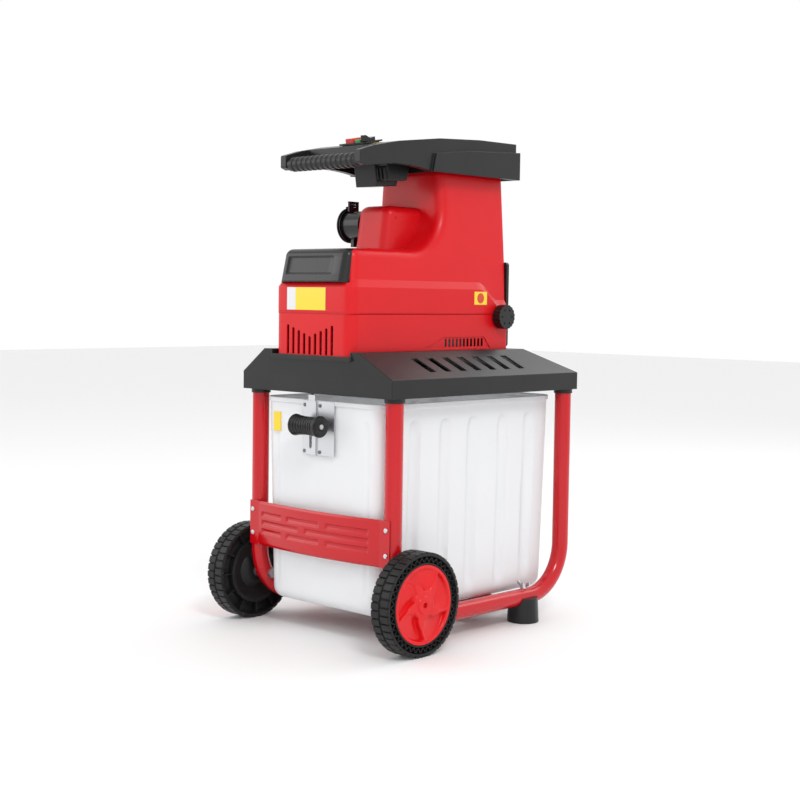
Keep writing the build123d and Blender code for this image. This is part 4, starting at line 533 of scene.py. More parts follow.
@dataclass
class Housing:
    """The red upper housing with the motor bay, the hollow sweep and the feed chute, and the parts on it."""

    front: float
    rear: float
    seam: float
    wide: float = 101.0
    bay_top: float = 713.0
    chute_front: float = 4.8
    sweep: float = 82.0
    chute_top: float = 866.0
    band: tuple[float, float] = (642.0, 656.0)
    band_in: float = 7.0
    band_drop: float = 33.0
    drop_from: float = 112.0
    drop_run: float = 42.0
    drop_fade: float = 39.0
    taper: float = 14.0
    taper_top: float = 850.0
    lean: float = 5.0
    side_round: float = 18.0
    cap_half: float = 86.0
    cap_low: float = 651.0
    cap_top: float = 711.0
    cap_front: tuple[float, float] = (-253.4, -242.5)
    cap_back: float = -188.0

    def settle(self, y: Array, level: Array) -> Array:
        """Height of a level at y: near the rear the levels round the band run down towards the knob.

        Args:
            y: places along the side.
            level: heights at the front, of the same shape.

        Returns:
            The heights at those places.
        """
        drop = self.band_drop * np.clip((y - self.drop_from) / self.drop_run, 0, 1)
        below = np.clip((level - self.seam) / (self.band[0] - self.seam), 0, 1)
        above = np.clip((self.bay_top - self.side_round - level) / self.drop_fade, 0, 1)
        return level - drop * np.minimum(below, above)

    def half_width(self, _y: Array, level: Array) -> Array:
        """Half width of the shell: full below the band, stepping in over it, then tapering to the chute top.

        Args:
            _y: places along the side, which don't change it.
            level: heights.

        Returns:
            The half width at each height.
        """
        step = np.clip((level - self.band[0]) / (self.band[1] - self.band[0]), 0, 1)
        narrowing = np.clip((level - self.band[1]) / (self.taper_top - self.band[1]), 0, 1.1)
        return self.wide - self.band_in * step - self.taper * narrowing

    def front_at(self, z: Array) -> Array:
        """y of the front wall: it steps back over the band and leans back over 50 mm above it.

        Args:
            z: heights.

        Returns:
            y at each height.
        """
        step = np.clip((z - self.band[0]) / (self.band[1] - self.band[0]), 0, 1)
        return self.front + self.band_in * step + self.lean * np.clip((z - self.band[1]) / 50.0, 0, 1)

    def shell(self) -> bpy.types.Object:
        """Builds the upper shell: one skin over the profile, two flat sides, and the rear wall.

        The profile goes up the front, over the motor bay, along the quarter circle of the hollow sweep and
        up the chute. The skin is left open under the motor cap.

        Returns:
            The shell.
        """
        levels = np.unique(np.concatenate([
            np.linspace(self.seam, self.band[0], 9), np.linspace(self.band[0], self.band[1], 5),
            [self.cap_low - 1.0], np.linspace(self.band[1], self.bay_top - self.side_round, 12)]))
        radius = self.side_round
        up = np.stack([self.front_at(levels), levels], 1)
        turn = np.linspace(0, np.pi / 2, 9)[1:]
        knee = np.array([up[-1, 0] + radius, self.bay_top - radius])
        way = np.stack([-np.cos(turn), np.sin(turn)], 1)
        corner = knee + radius * way
        hollow_y = self.chute_front - self.sweep
        top_y = np.unique(np.concatenate([np.linspace(corner[-1, 0], self.cap_back, 8),
                                          np.linspace(self.cap_back, hollow_y, 14)]))[1:]
        top = np.stack([top_y, np.full(len(top_y), self.bay_top)], 1)
        bend = np.linspace(0, np.pi / 2, 19)[1:]
        arc_mid = np.array([hollow_y, self.bay_top + self.sweep])
        arc_way = np.stack([-np.sin(bend), np.cos(bend)], 1)
        arc = arc_mid - self.sweep * arc_way
        rise = np.linspace(self.bay_top + self.sweep, self.chute_top, 8)[1:]
        chute = np.stack([np.full(len(rise), self.chute_front), rise], 1)
        line = np.vstack([up, corner, top, arc, chute])
        forward, upward = [-1.0, 0.0], [0.0, 1.0]
        normal = np.vstack([np.tile(forward, (len(up), 1)), way, np.tile(upward, (len(top), 1)), arc_way,
                            np.tile(forward, (len(chute), 1))])
        radii = np.full(len(line), radius)
        wrap = Wrap(self.half_width)
        skin = wrap.skin(line, normal, radii)
        _, angle = wrap.columns()
        middle = (angle[:-1] > -0.6) & (angle[1:] < 0.6)
        in_bay = np.zeros(len(line) - 1, bool)
        low_row = int(np.searchsorted(levels, self.cap_low - 1.0))
        high_row = len(up) + len(corner) + int(np.argmin(abs(top_y - self.cap_back)))
        in_bay[low_row:high_row] = True
        made = Surface().grid(skin, keep=~(in_bay[:, None] & middle[None, :]))

        first = len(up) + len(corner) + len(top)
        inner = line - radii[:, None] * normal
        low_left = inner[:len(up)]
        shelf = inner[len(up) - 1:first]
        upper_left = inner[first - 1:]
        rear_round = 5.0
        back = self.rear - rear_round
        share = np.linspace(0, 1, 22)
        for sign in (-1.0, 1.0):
            y_low = np.concatenate([shelf[len(corner):, 0], shelf[-1, 0] + share[1:] * (back - shelf[-1, 0])])
            y_low = np.maximum.accumulate(y_low)
            start = y_low[0]
            pull = (y_low - start) / (back - start)
            y = low_left[:, :1] + pull[None, :] * (back - low_left[:, :1])
            level = np.repeat(levels[:, None], y.shape[1], 1)
            made.grid(np.stack([sign * self.half_width(y, level), y, self.settle(y, level)], 2))
            y = upper_left[:, :1] + share[None, :] * (back - upper_left[:, :1])
            z = np.repeat(upper_left[:, 1:], len(share), 1)
            made.grid(np.stack([sign * self.half_width(y, z), y, z], 2))
        all_z = np.concatenate([levels, upper_left[1:, 1]])
        lap = np.linspace(0, np.pi / 2, 5)
        half = self.half_width(np.full(len(all_z), self.rear), all_z)[:, None]
        out, behind = rear_round * np.cos(lap) - rear_round, back + rear_round * np.sin(lap)
        x = np.hstack([half + out, -(half + out[::-1])])
        y = np.tile(np.concatenate([behind, behind[::-1]]), (len(all_z), 1))
        level = np.repeat(all_z[:, None], x.shape[1], 1)
        made.grid(np.stack([x, y, self.settle(np.minimum(y, back), level)], 2))
        return mount(thicken(made.piece("Upper_Housing", 17), 3.0), RED_SHELL, "frame_body", "red_plastic",
                     "upper_housing")

    def cap(self) -> bpy.types.Object:
        """Builds the black motor cap, with a sunk panel in its leaning front.

        Returns:
            The cap.
        """
        corner, wall, panel_deep = 15.0, 4.0, 2.6
        left, right, low, high = -65.0, 48.0, 668.0, 694.0
        reach = self.cap_half - corner
        flat = np.concatenate([np.linspace(-reach, left - wall, 3), np.linspace(left - wall, left, 6)[1:],
                               np.linspace(left, right, 14)[1:], np.linspace(right, right + wall, 6)[1:],
                               [reach]]) / reach
        rise = np.concatenate([np.linspace(self.cap_low, low - wall, 6), np.linspace(low - wall, low, 6)[1:],
                               np.linspace(low, high, 8)[1:], np.linspace(high, high + wall, 6)[1:]])

        def panel(grid: Array) -> Array:
            """Sinks the panel, with sloping walls all round it."""
            face = grid[:len(rise)]
            face[..., 1] += panel_deep * (bump_between(face[..., 0], left, right, wall)
                                          * bump_between(face[..., 2], low, high, wall))
            return grid

        made = hood(rise, self.cap_front, self.cap_back, self.cap_top, corner, self.cap_half, flat_at=flat,
                    press=panel)
        return mount(thicken(made.piece("Motor_Cap", 30), 2.5), BLACK_SATIN, "frame_body", "black_plastic",
                     "motor_cap")

    def cable_cover(self) -> bpy.types.Object:
        """Builds the red cover in the hollow sweep, which runs back into the chute.

        Returns:
            The cover.
        """
        low, high = box_mm("cable_cover")
        corner = 19.0
        rise = np.linspace(low[2] - 4, high[2] - corner, 12)
        made = hood(rise, (low[1] - 2, low[1] + 8), high[1] + 3, high[2], corner, (high[0] - low[0]) / 2,
                    mid_x=(high[0] + low[0]) / 2)
        return mount(thicken(made.piece("Cable_Cover", 30), 2.5), RED_SHELL, "frame_body", "red_plastic",
                     "cable_cover")

    def stickers(self) -> None:
        """Builds the blank stickers on the front wall and on the side."""
        y = self.front - 0.35
        sticker("Front_Sticker", (-66, y, 600), (36, y + 0.4, 641), STICKER_GREY)
        sticker("Front_Sticker_Band", (-43, y - 0.15, 600), (36, y + 0.1, 641), STICKER_YELLOW)
        side = self.wide + 0.05
        sticker("Side_Sticker", (side - 0.5, 84, 613), (side + 0.3, 121, 638), STICKER_YELLOW)
        ring = np.linspace(0, 2 * np.pi, 48, endpoint=False)
        spot = np.stack([np.full(48, side + 0.5), 102 + 10 * np.cos(ring), 625.5 + 10 * np.sin(ring)], 1)
        made = Surface().grid(np.stack([spot - [0.6, 0, 0], spot]), wrap=True)
        made.fan(spot, spot.mean(0, keepdims=True))
        mount(made.piece("Side_Sticker_Dot"), STICKER_RED, "frame_body", "red_plastic")


def sticker(name: str, low: Sequence[float], high: Sequence[float], finish: Finish, body: str = "frame_body",
            slot: str = "red_plastic") -> bpy.types.Object:
    """Builds a thin flat plate between two corners.

    Args:
        name: name of the piece.
        low: the low corner, in millimetres.
        high: the high corner.
        finish: what it is dressed in.
        body: the CAD body that it moves with.
        slot: the record's material slot.

    Returns:
        The plate.
    """
    (x0, y0, z0), (x1, y1, z1) = low, high
    corners = np.array([[[x0, y0, z0], [x1, y0, z0], [x1, y1, z0], [x0, y1, z0],
                         [x0, y0, z1], [x1, y0, z1], [x1, y1, z1], [x0, y1, z1]]], float)
    return mount(Surface().blocks(corners).piece(name), finish, body, slot)


# ---------------------------------------------------------------- tube frame
@dataclass
class TubeFrame:
    """The four bent tubes and the bowed guard plate."""

    tube_x: float
    front_y: float
    rear_y: float
    joint_y: float
    low_z: float = 48.0
    high_z: float = 473.0
    bend: float = 95.0
    radius: float = 16.0

    def leg(self, sign: float, at_front: bool) -> Array:
        """The centre line of one tube: down the leg, round a quarter circle, and along the ground.

        Args:
            sign: 1 on the right, -1 on the left.
            at_front: whether it is the front tube.

        Returns:
            n x 3 points.
        """
        y = self.front_y if at_front else self.rear_y
        inward = 1.0 if at_front else -1.0
        turn = np.linspace(0, np.pi / 2, 25)
        down = np.stack([np.full(14, y), np.linspace(self.high_z, self.low_z + self.bend, 14)], 1)
        arc = np.stack([y + inward * self.bend * (1 - np.cos(turn)),
                        self.low_z + self.bend * (1 - np.sin(turn))], 1)[1:]
        run = np.stack([np.linspace(arc[-1, 0], self.joint_y, 10)[1:], np.full(9, self.low_z)], 1)
        flat = np.vstack([down, arc, run])
        return np.column_stack([np.full(len(flat), sign * self.tube_x), flat])

    def tubes(self) -> None:
        """Builds the front and rear tube of both sides."""
        for side, sign in (("left", -1.0), ("right", 1.0)):
            for place, at_front in (("front", True), ("rear", False)):
                tube = tube_along(self.leg(sign, at_front), self.radius)
                made = tube.piece(f"Tube_{place}_{side}".title(), 50)
                mount(made, RED_PAINT, "frame_body", "gloss_red_tube", f"frame_tube_{place}_{side}")

    def guard(self) -> bpy.types.Object:
        """Builds the guard plate: a sheet bowed forward along an arc, with three rows of pressed slots.

        The sheet's y is the flat ends' y less the height of the arc at x, and each slot presses it inwards
        by a rounded groove that fades at its ends.

        Returns:
            The plate.
        """
        low, high = box_mm("guard_plate")
        x0, z0, z1 = low[0], low[2], high[2]
        flat_x = self.tube_x - self.radius
        bow, slot_deep, fold_deep, fold_high = 13.0, 3.0, 2.2, 5.0
        flat_y = low[1] + bow
        arc_r = (flat_x**2 + bow**2) / (2 * bow)
        x = np.linspace(x0, -x0, 391)
        z = np.linspace(z0, z1, 85)
        grid_x, grid_z = np.meshgrid(x, z)
        height = np.where(abs(grid_x) < flat_x,
                          np.sqrt(np.maximum(arc_r**2 - grid_x**2, 0)) - (arc_r - bow), 0.0)
        press = np.zeros_like(grid_x)
        three_slots, two_slots = ((-148, -90), (-69, 15), (38, 133)), ((-147, -41), (-17, 133))
        rows = ((0.24, three_slots), (0.43, two_slots), (0.62, three_slots))
        for share, slots in rows:
            level = z1 - share * (z1 - z0) - 4
            across = np.clip(1 - ((grid_z - level) / 5.0) ** 2, 0, 1)
            for start, stop in slots:
                press += across**0.6 * bump_between(grid_x, start, stop, 4)
        fold = smooth(1 - (grid_z - z0) / fold_high) + smooth(1 - (z1 - grid_z) / fold_high)
        y = flat_y - height + slot_deep * press + fold_deep * fold * (abs(grid_x) < flat_x)
        made = Surface().grid(np.stack([grid_x, y, grid_z], 2)).piece("Guard_Plate", 45)
        solid = thicken(made, 1.2)
        solid.modifiers["wall"].offset = 1.0 if made.data.polygons[0].normal.y > 0 else -1.0
        return mount(solid, RED_PAINT, "frame_body", "gloss_red_tube", "guard_plate")


# ---------------------------------------------------------------- catch bin
@dataclass
class CatchBin:
    """The milky catch bin with its rim, fluted sides and a flat pad for the latch."""

    low: Array
    high: Array
    draft: float = 7.0
    corner: float = 34.0
    rim: float = 3.0
    flute_at: tuple[float, ...] = (-136.0, -53.0, 24.0, 111.0, 189.0)
    flute_half: float = 15.0
    flute_deep: float = 8.0

    def shell(self) -> bpy.types.Object:
        """Builds the bin: rounded rectangles that shrink downwards, rounded into the floor, with flutes.

        A flute presses the side inwards by a rounded bell about its own y, and fades out near its rounded top
        and above the floor. The front and rear have one narrow flute near each corner.

        Returns:
            The bin.
        """
        half_x = self.high[0] - self.rim
        rear = self.high[1] - self.rim
        front = self.low[1] + self.rim
        mid_y = (front + rear) / 2
        half_y = (rear - front) / 2
        floor, top = self.low[2], self.high[2]
        bottom_r = 22.0
        turn = np.linspace(0, np.pi / 2, 8)
        z = np.concatenate([floor + bottom_r * (1 - np.cos(turn)), np.linspace(floor + bottom_r, 400, 24)[1:],
                            np.linspace(400, top - 9.5, 14)[1:],
                            [top - 9, top - 8.6, top - 1, top - 0.2, top]])
        lean = self.draft * (top - z) / (top - floor)
        tuck = np.concatenate([bottom_r * (1 - np.sin(turn)), np.zeros(len(z) - len(turn))])
        out = np.zeros(len(z))
        out[-5:] = (0.4, self.rim, self.rim, self.rim - 0.8, self.rim - 2.0)
        inset = lean + tuck - out
        radius = np.maximum(self.corner - tuck, 12) + out
        x, y, way = rounded_outline(half_x - inset, half_y - inset, radius, mid_y, side=110, arc=12)
        level = np.repeat(z[:, None], x.shape[1], 1)
        press = np.zeros_like(x)
        foot = smooth((level - floor - 26) / 30)
        for centre in self.flute_at:
            off = (y - centre) / self.flute_half
            roof = 408 - 12 * off**2
            press += np.clip(1 - off**2, 0, 1) ** 0.7 * smooth((roof - level) / 10) * foot
        press *= abs(way[..., 0]) > 0.98
        step = self.flute_deep * press
        for centre in (-120.0, 120.0):
            bell = np.clip(1 - ((x - centre) / 9.0) ** 2, 0, 1) * (abs(way[..., 1]) > 0.98)
            step += 3.0 * bell**0.7 * smooth((405 - level) / 10) * foot
        x = x - way[..., 0] * step
        y = y - way[..., 1] * step
        made = Surface().grid(np.stack([x, y, level], 2), wrap=True)
        ring = np.stack([x[0], y[0], level[0]], 1)
        middle = np.array([[0.0, mid_y, floor]])
        share = np.linspace(0, 0.98, 12)[:, None, None]
        made.grid(ring[None] + share * (middle[None] - ring[None]), wrap=True)
        made.fan(ring + 0.98 * (middle - ring), middle)
        return mount(thicken(made.piece("Catch_Bin", 40, 0.005), 2.4), MILKY, "bin_body", "bin_plastic",
                     "catch_bin")

    def grip(self) -> bpy.types.Object:
        """Builds the waisted latch grip, with fine rings round it and rounded ends.

        Returns:
            The grip.
        """
        low, high = box_mm("latch_grip")
        x = np.linspace(low[0], high[0], 340)
        share = 2 * (x - x[0]) / (x[-1] - x[0]) - 1
        outer = (high[2] - low[2]) / 2
        swell = outer - 3.6 * (1 - abs(share) ** 2.2)
        ripple = 0.9 * np.clip(np.cos(x * 2 * np.pi / 6.4) * 2.4, -1, 1) * (abs(share) < 0.86)
        from_end = np.minimum(x - x[0], x[-1] - x)
        radius = swell + ripple - 0.9 * (abs(share) < 0.86) - rounding(from_end, 3.0)
        centre = ((low[1] + high[1]) / 2, (low[2] + high[2]) / 2)
        made = turned(np.column_stack([x, radius]), centre, 72)
        return mount(made.piece("Latch_Grip", 50), BLACK_SATIN, "latch_body", "black_plastic", "latch_grip")

    def label(self) -> None:
        """Builds the blank sticker near the front corner of the bin."""
        front = self.low[1] + self.rim
        sticker("Bin_Sticker", (-125, front - 0.7, 372), (-106, front + 1.6, 408), STICKER_YELLOW, "bin_body",
                "bin_plastic")


# ---------------------------------------------------------------- wheels
@dataclass
class Wheel:
    """One wheel: block tread, zig-zag ribs in its outer face, and a red disc with scooped swirls."""

    side: str
    sign: float
    axle_y: float
    inner_x: float
    radius: float = 92.0
    width: float = 41.0
    disc_r: float = 70.0
    blocks: int = 40
    groove_deep: float = 3.0
    swirls: int = 5

    @property
    def body(self) -> str:
        """The CAD body that this wheel is."""
        return f"wheel_{self.side}_body"

    def place(self, x: Array, r: Array, angle: Array) -> Array:
        """Points at a depth x outwards from the wheel's inner face, radius r and angle round the axle."""
        x, r, angle = np.broadcast_arrays(x, r, angle)
        return np.stack([self.sign * (self.inner_x + x), self.axle_y + r * np.cos(angle),
                         self.radius + r * np.sin(angle)], -1)

    def tyre(self) -> bpy.types.Object:
        """Builds the tyre: a ring whose outer face is cut by a middle groove and by cross grooves.

        The two rows of blocks are half a block out of step, and the grooves have soft walls.

        Returns:
            The tyre, with the wheel's recesses and its bore.
        """
        steps = self.blocks * 12
        angle = np.linspace(0, 2 * np.pi, steps, endpoint=False)
        w = np.unique(np.concatenate([np.linspace(0, 2, 4), np.linspace(2, 18, 6), np.linspace(18, 23, 9),
                                      np.linspace(23, 39, 6), np.linspace(39, self.width, 4)]))
        row = np.where(w < self.width / 2, 0.0, 0.5)[:, None]
        phase = (angle * self.blocks / (2 * np.pi) + row) % 1.0
        cross = bump_between(phase, 0.0, 0.1, 0.07) + bump_between(phase, 1.0, 1.1, 0.07)
        mid = bump_between(w, 19.4, 21.6, 1.2)[:, None]
        from_side = np.minimum(w, self.width - w)
        shoulder = rounding(from_side, 1.6)
        depth = self.groove_deep * np.maximum(np.clip(cross, 0, 1), mid)
        edge = (from_side < 0.4)[:, None]
        r = self.radius - shoulder[:, None] - np.where(edge, np.clip(cross, 0, 1) * 2.0, depth)
        made = Surface().grid(self.place(w[:, None], r, angle), wrap=True)
        outer = self.place(np.array([[self.width]]), r[-1:], angle)
        inner = self.place(np.array([[0.0]]), r[:1], angle)
        lines = {
            "outer": ((41, 86), (40.6, 85.4), (34, 84.4), (33, 83.6), (33, 74.6), (34, 74), (40, 73.6),
                      (40.4, 73), (40.4, 71), (32, 70.6), (32, 18)),
            "inner": ((0, 86), (0.6, 85.2), (12, 83.5), (14, 82), (15, 66), (14, 64), (2, 62), (1.4, 60),
                      (2, 54), (9, 50), (11, 34), (4, 24), (2, 18)),
        }
        for name, start in (("outer", outer), ("inner", inner)):
            profile = np.array(lines[name], float)
            made.grid(np.concatenate([start, self.place(profile[:, :1], profile[:, 1:], angle)]), wrap=True)
        bore = np.array([(32, 18), (32, 7), (2, 7), (2, 18)], float)
        made.grid(self.place(bore[:, :1], bore[:, 1:], angle), wrap=True)
        return mount(made.piece(f"Wheel_{self.side}".title(), 32), WHEEL_BLACK, self.body, "black_plastic",
                     f"wheel_{self.side}")

    def ribs(self) -> bpy.types.Object:
        """Builds the zig-zag ribs of the outer recess and the straight ribs behind the wheel as thin blocks.

        Returns:
            The ribs, as one piece.
        """
        count = 2 * self.blocks
        step = 2 * np.pi / count
        start = np.arange(count) * step
        low = np.arange(count) % 2 == 0
        r_a, r_b = np.where(low, 74.6, 84.0), np.where(low, 84.0, 74.6)
        half = 0.9 / 80.0
        made = Surface()
        spokes = np.arange(12) * np.pi / 6
        zigzag = ((32.0, 39.6), (r_a, r_b), (start, start + step), half)
        straight = ((3.0, 15.0), (np.full(12, 63.0), np.full(12, 83.5)), (spokes, spokes), half * 1.4)
        for depth, (ra, rb), (a, b), thick in (zigzag, straight):
            ends = []
            for x in depth:
                ends += [self.place(x, ra, a - thick), self.place(x, ra, a + thick),
                         self.place(x, rb, b + thick), self.place(x, rb, b - thick)]
            made.blocks(np.stack(ends, 1))
        return mount(made.piece(f"Wheel_Ribs_{self.side}".title()), WHEEL_BLACK, self.body, "black_plastic")

    def disc(self) -> bpy.types.Object:
        """Builds the red disc with five scooped swirls round a raised middle.

        The face's depth at radius r and angle a is a shallow dome less, for each swirl, a scoop: a bell
        across the swirl's curved centre line (its angle grows with r) times a bell along r.

        Returns:
            The disc.
        """
        angle = np.linspace(0, 2 * np.pi, 360, endpoint=False)
        r = np.concatenate([np.linspace(5, 14, 8), np.linspace(14.3, 16, 5), np.linspace(17, 66, 66),
                            np.linspace(66.5, self.disc_r - 0.6, 6)])[:, None]
        face = 41.2 - 1.2 * (r / self.disc_r) ** 2 + 2.2 * (1 - smooth((r - 14) / 2.5))
        scoop = np.zeros((len(r), len(angle)))
        for arm in range(self.swirls):
            centre = arm * 2 * np.pi / self.swirls + 0.2 + self.sign * 0.009 * (r - 42)
            offset = (angle - centre + np.pi) % (2 * np.pi) - np.pi
            width = 0.54 * (0.5 + 0.5 * smooth((r - 24) / 24))
            along = bump_between(r, 28, 61, 4)
            lean = np.clip((self.sign * offset + width) / (2 * width), 0, 1)
            scoop += bump_between(offset, -width, width, 0.07) * along * (2.2 + 6.5 * lean)
        face = face - np.minimum(scoop, 8.0)
        rim = self.place(np.array([[40.2], [38.5], [33.4]]), self.disc_r, angle)
        made = Surface().grid(np.concatenate([self.place(face, r, angle), rim]), wrap=True)
        hole_r, hole_floor = 5.0, 38.0
        made.grid(self.place(np.array([[43.4], [hole_floor]]), hole_r, angle), wrap=True)
        made.fan(self.place(hole_floor, hole_r, angle), self.place(hole_floor, 0.0, 0.0)[None])
        return mount(made.piece(f"Hub_Disc_{self.side}".title(), 40), RED_HUB, self.body, "red_plastic",
                     f"hub_cap_{self.side}")


# ---------------------------------------------------------------- handle
def handle_bar() -> bpy.types.Object:
    """Builds the ribbed handle bar: a round bar along X with a raised band between every two grooves.

    Returns:
        The bar.
    """
    low, high = box_mm("handle_grip")
    corner, groove, pitch = 5.0, 0.7, 13.0
    x = np.concatenate([low[0] + corner * (1 - np.cos(np.linspace(0, 1.3, 8))),
                        np.linspace(low[0] + corner, high[0] - corner, 400),
                        high[0] - corner * (1 - np.sin(np.linspace(0.27, np.pi / 2, 8)))])
    wave = np.clip(np.cos(x * 2 * np.pi / pitch) * 3.2, -1, 1)
    radius = (high[2] - low[2]) / 2 - groove * (1 - wave) - rounding(high[0] - abs(x), corner)
    made = turned(np.column_stack([x, radius]), ((low[1] + high[1]) / 2, (low[2] + high[2]) / 2), 56)
    return mount(made.piece("Handle_Bar", 50), CHARCOAL, "frame_body", "black_plastic", "handle_grip")


def console_label() -> bpy.types.Object:
    """Lays a plain yellow label on the sloping console, beside the switch.

    Returns:
        The label.
    """
    deck = ((-148.0, 903.8), (-135.0, 906.4), (-122.0, 908.3))
    lift = 0.5
    points = np.array([[[x, y, z + lift] for x in (45.0, 62.0)] for y, z in deck])
    return mount(Surface().grid(points).piece("Console_Label"), STICKER_YELLOW, "frame_body", "black_plastic")


def leaning_block(low: Sequence[float], high: Sequence[float], tuck: tuple[float, float],
                  heel: float = 0.0) -> list[list[float]]:
    """The corners of a block whose underside is shorter than its top.

    Args:
        low: the low corner.
        high: the high corner.
        tuck: how far the underside stands in at the front and at the back.
        heel: how much higher the underside is at the back.

    Returns:
        Eight corners, four of the underside and then four of the top.
    """
    (x0, y0, z0), (x1, y1, z1) = low, high
    front, back = y0 + tuck[0], y1 - tuck[1]
    return [[x0, front, z0], [x1, front, z0], [x1, back, z0 + heel], [x0, back, z0 + heel],
            [x0, y0, z1], [x1, y0, z1], [x1, y1, z1], [x0, y1, z1]]


def console_box() -> bpy.types.Object:
    """Builds the soft-edged switch box under the console, with a narrower ribbed step beside it.

    Returns:
        The box.
    """
    low, high = box_mm("switch_housing")
    low = low + [0, 0, 2]
    top = high[2] - 0.5
    blocks = [leaning_block(low, (high[0] - 26, high[1], top), (7, 10), 4),
              leaning_block((high[0] - 30, low[1] + 6, low[2] + 9), (high[0], high[1], top), (7, 10), 4)]
    for rib in range(3):
        x, y, z = high[0] - 25 + 9 * rib, low[1] + 2, low[2] + 12
        blocks.append(leaning_block((x, y, z), (x + 3, y + 12, high[2] - 8), (4, 0)))
    made = Surface().blocks(np.array(blocks, float)).piece("Console_Box", 40)
    edge = made.modifiers.new("round", "BEVEL")
    edge.width = 5.0 * MM
    edge.segments = 4
    return mount(made, CHARCOAL, "frame_body", "black_plastic", "switch_housing")


# ---------------------------------------------------------------- dressing of the frame's own pieces
NODE_FINISH: dict[Finish, tuple[str, ...]] = {
    RED_SHELL: ("lower_housing",),
    RED_PAINT: ("cross_plates",),
    CHARCOAL: ("base_cover", "hopper", "feet", "rear_panel", "gearbox"),
    BLACK_SATIN: ("mains_inlet", "inlet_lid", "switch_body", "interlock_switch",
                  "interlock_plunger", "adjusting_knob", "feed_liner", "direction_rocker"),
    ZINC: ("latch_plate", "latch_tongue", "latch_grip_screw", "axle_bolts", "axle_nuts",
           "axle_spacers", "guard_screws", "cross_plate_screws", "foot_bolts", "wing_nuts", "leg_screws",
           "cover_screws", "bearings", "inlet_hinge", "adjusting_screw", "roller_shaft", "motor_rotor"),
    DARK_STEEL: ("latch_rivets", "cutter_frame", "cutting_roller", "roller_gear", "counter_gear",
                 "motor_stator", "pressure_plate"),
    ALUMINIUM: ("motor_shields", "capacitor"),
    BRASS: ("inlet_pins",),
    RED_KEY: ("stop_button",),
    GREEN_KEY: ("start_button",),
}


def dress_nodes(nodes: dict[str, bpy.types.Object]) -> None:
    """Gives every CAD piece that is still shown its finish.

    Args:
        nodes: the CAD pieces by node name.
    """
    for finish, names in NODE_FINISH.items():
        for name in names:
            held = nodes[name].data.materials
            held.clear()
            held.append(finish.material())


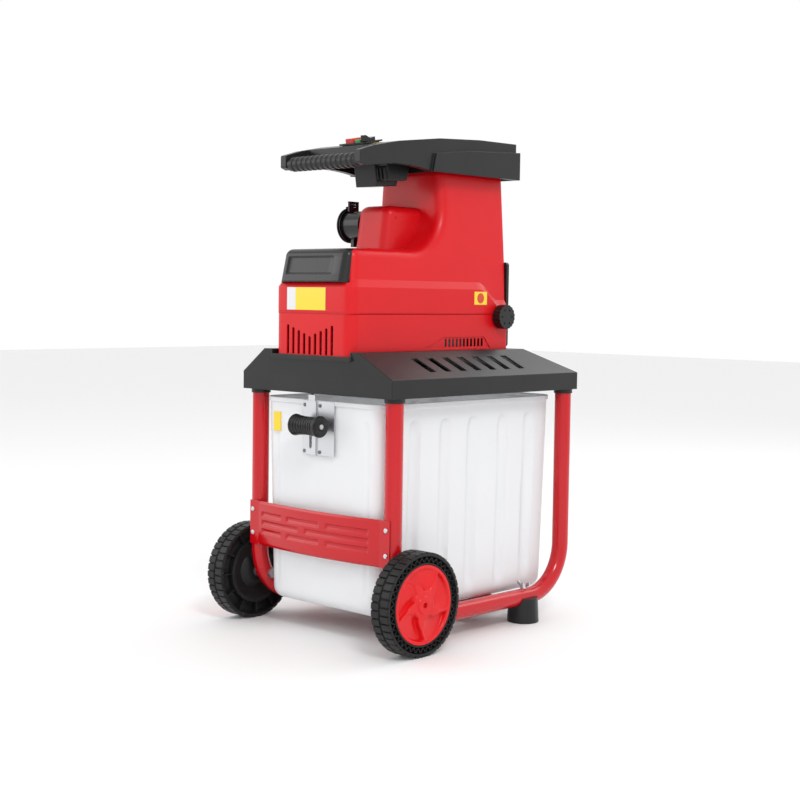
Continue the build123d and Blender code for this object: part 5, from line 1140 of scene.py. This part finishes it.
# ---------------------------------------------------------------- studio
@dataclass
class Studio:
    """A pale floor, soft lights and the camera."""

    eye: tuple[float, float, float] = (1.91965, -2.03755, 0.62407)
    azimuth: float = 43.49
    pitch: float = 3.30
    roll: float = -0.81
    lens: float = 65.25
    shift_y: float = -0.0231

    def floor(self) -> None:
        """Lays a large plain floor."""
        size = 12000.0
        corners = [[[x, y, 0.0] for x in (-size, size)] for y in (-size, size)]
        made = Surface().grid(np.array(corners)).piece("Floor")
        sheet = bpy.data.materials.new("floor")
        sheet.use_nodes = True
        shader = sheet.node_tree.nodes["Principled BSDF"]
        shader.inputs["Base Color"].default_value = (0.86, 0.86, 0.86, 1)
        shader.inputs["Roughness"].default_value = 0.7
        made.data.materials.append(sheet)

    def lights(self) -> None:
        """Hangs a key, a fill and a back light, over a pale surround."""
        bpy.context.scene.view_settings.view_transform = "Standard"
        world = bpy.data.worlds.new("surround")
        bpy.context.scene.world = world
        world.use_nodes = True
        world.node_tree.nodes["Background"].inputs["Color"].default_value = (1, 1, 1, 1)
        world.node_tree.nodes["Background"].inputs["Strength"].default_value = 1.0
        for name, spot, size, power in (("key", (2.6, -1.6, 2.9), 0.8, 46.0),
                                        ("fill", (-2.8, -2.2, 1.6), 2.0, 22.0),
                                        ("back", (0.4, 3.0, 2.6), 2.0, 24.0)):
            lamp = bpy.data.lights.new(name, "AREA")
            lamp.size = size
            lamp.energy = power
            held = bpy.data.objects.new(name, lamp)
            bpy.context.scene.collection.objects.link(held)
            aim = np.array([0, 0, 0.5]) - np.array(spot)
            held.matrix_world = look(np.array(spot), aim)

    def camera(self) -> None:
        """Sets the camera: its axes follow from azimuth, downward pitch and roll."""
        a, e, r = (math.radians(v) for v in (self.azimuth, self.pitch, self.roll))
        right = np.array([math.cos(a), math.sin(a), 0])
        back = np.array([math.sin(a) * math.cos(e), -math.cos(a) * math.cos(e), math.sin(e)])
        up = np.cross(back, right)
        turned_right = math.cos(r) * right - math.sin(r) * up
        turned_up = math.sin(r) * right + math.cos(r) * up
        lens = bpy.data.cameras.new("camera")
        lens.lens = self.lens
        lens.sensor_width = 36.0
        lens.shift_y = self.shift_y
        lens.clip_end = 100.0
        held = bpy.data.objects.new("camera", lens)
        bpy.context.scene.collection.objects.link(held)
        place = Matrix.Identity(4)
        for row in range(3):
            place[row][0], place[row][1], place[row][2] = turned_right[row], turned_up[row], back[row]
            place[row][3] = self.eye[row]
        held.matrix_world = place
        bpy.context.scene.camera = held


def look(spot: Array, aim: Array) -> Matrix:
    """The placing of a lamp that shines along a direction.

    Args:
        spot: where it hangs.
        aim: where it shines, of any length.

    Returns:
        The world matrix.
    """
    back = -aim / np.linalg.norm(aim)
    right = np.cross([0, 0, 1], back)
    right /= np.linalg.norm(right)
    up = np.cross(back, right)
    placing = Matrix.Identity(4)
    for row in range(3):
        placing[row][0], placing[row][1] = right[row], up[row]
        placing[row][2], placing[row][3] = back[row], spot[row]
    return placing


def main() -> None:
    """Loads the frame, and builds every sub-assembly in order."""
    logging.basicConfig(level=logging.INFO, format="%(message)s")
    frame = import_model()
    low, high = box_mm("upper_housing")
    housing = Housing(front=low[1], rear=high[1], seam=low[2], wide=high[0])
    housing.shell()
    housing.cap()
    housing.cable_cover()
    housing.stickers()
    tube_low, tube_high = box_mm("frame_tube_front_right")
    rear_high = box_mm("frame_tube_rear_right")[1]
    legs = TubeFrame(tube_x=(tube_low[0] + tube_high[0]) / 2, front_y=tube_low[1] + TubeFrame.radius,
                     rear_y=rear_high[1] - TubeFrame.radius, joint_y=tube_high[1])
    legs.tubes()
    legs.guard()
    catch = CatchBin(*box_mm("catch_bin"))
    catch.shell()
    catch.grip()
    catch.label()
    for side, sign in (("left", -1.0), ("right", 1.0)):
        low, high = box_mm(f"wheel_{side}")
        wheel = Wheel(side, sign, (low[1] + high[1]) / 2, min(abs(low[0]), abs(high[0])))
        wheel.tyre()
        wheel.ribs()
        wheel.disc()
    handle_bar()
    console_box()
    console_label()
    dress_nodes(frame["nodes"])
    studio = Studio()
    studio.floor()
    studio.lights()
    studio.camera()


if __name__ == "__main__":
    main()
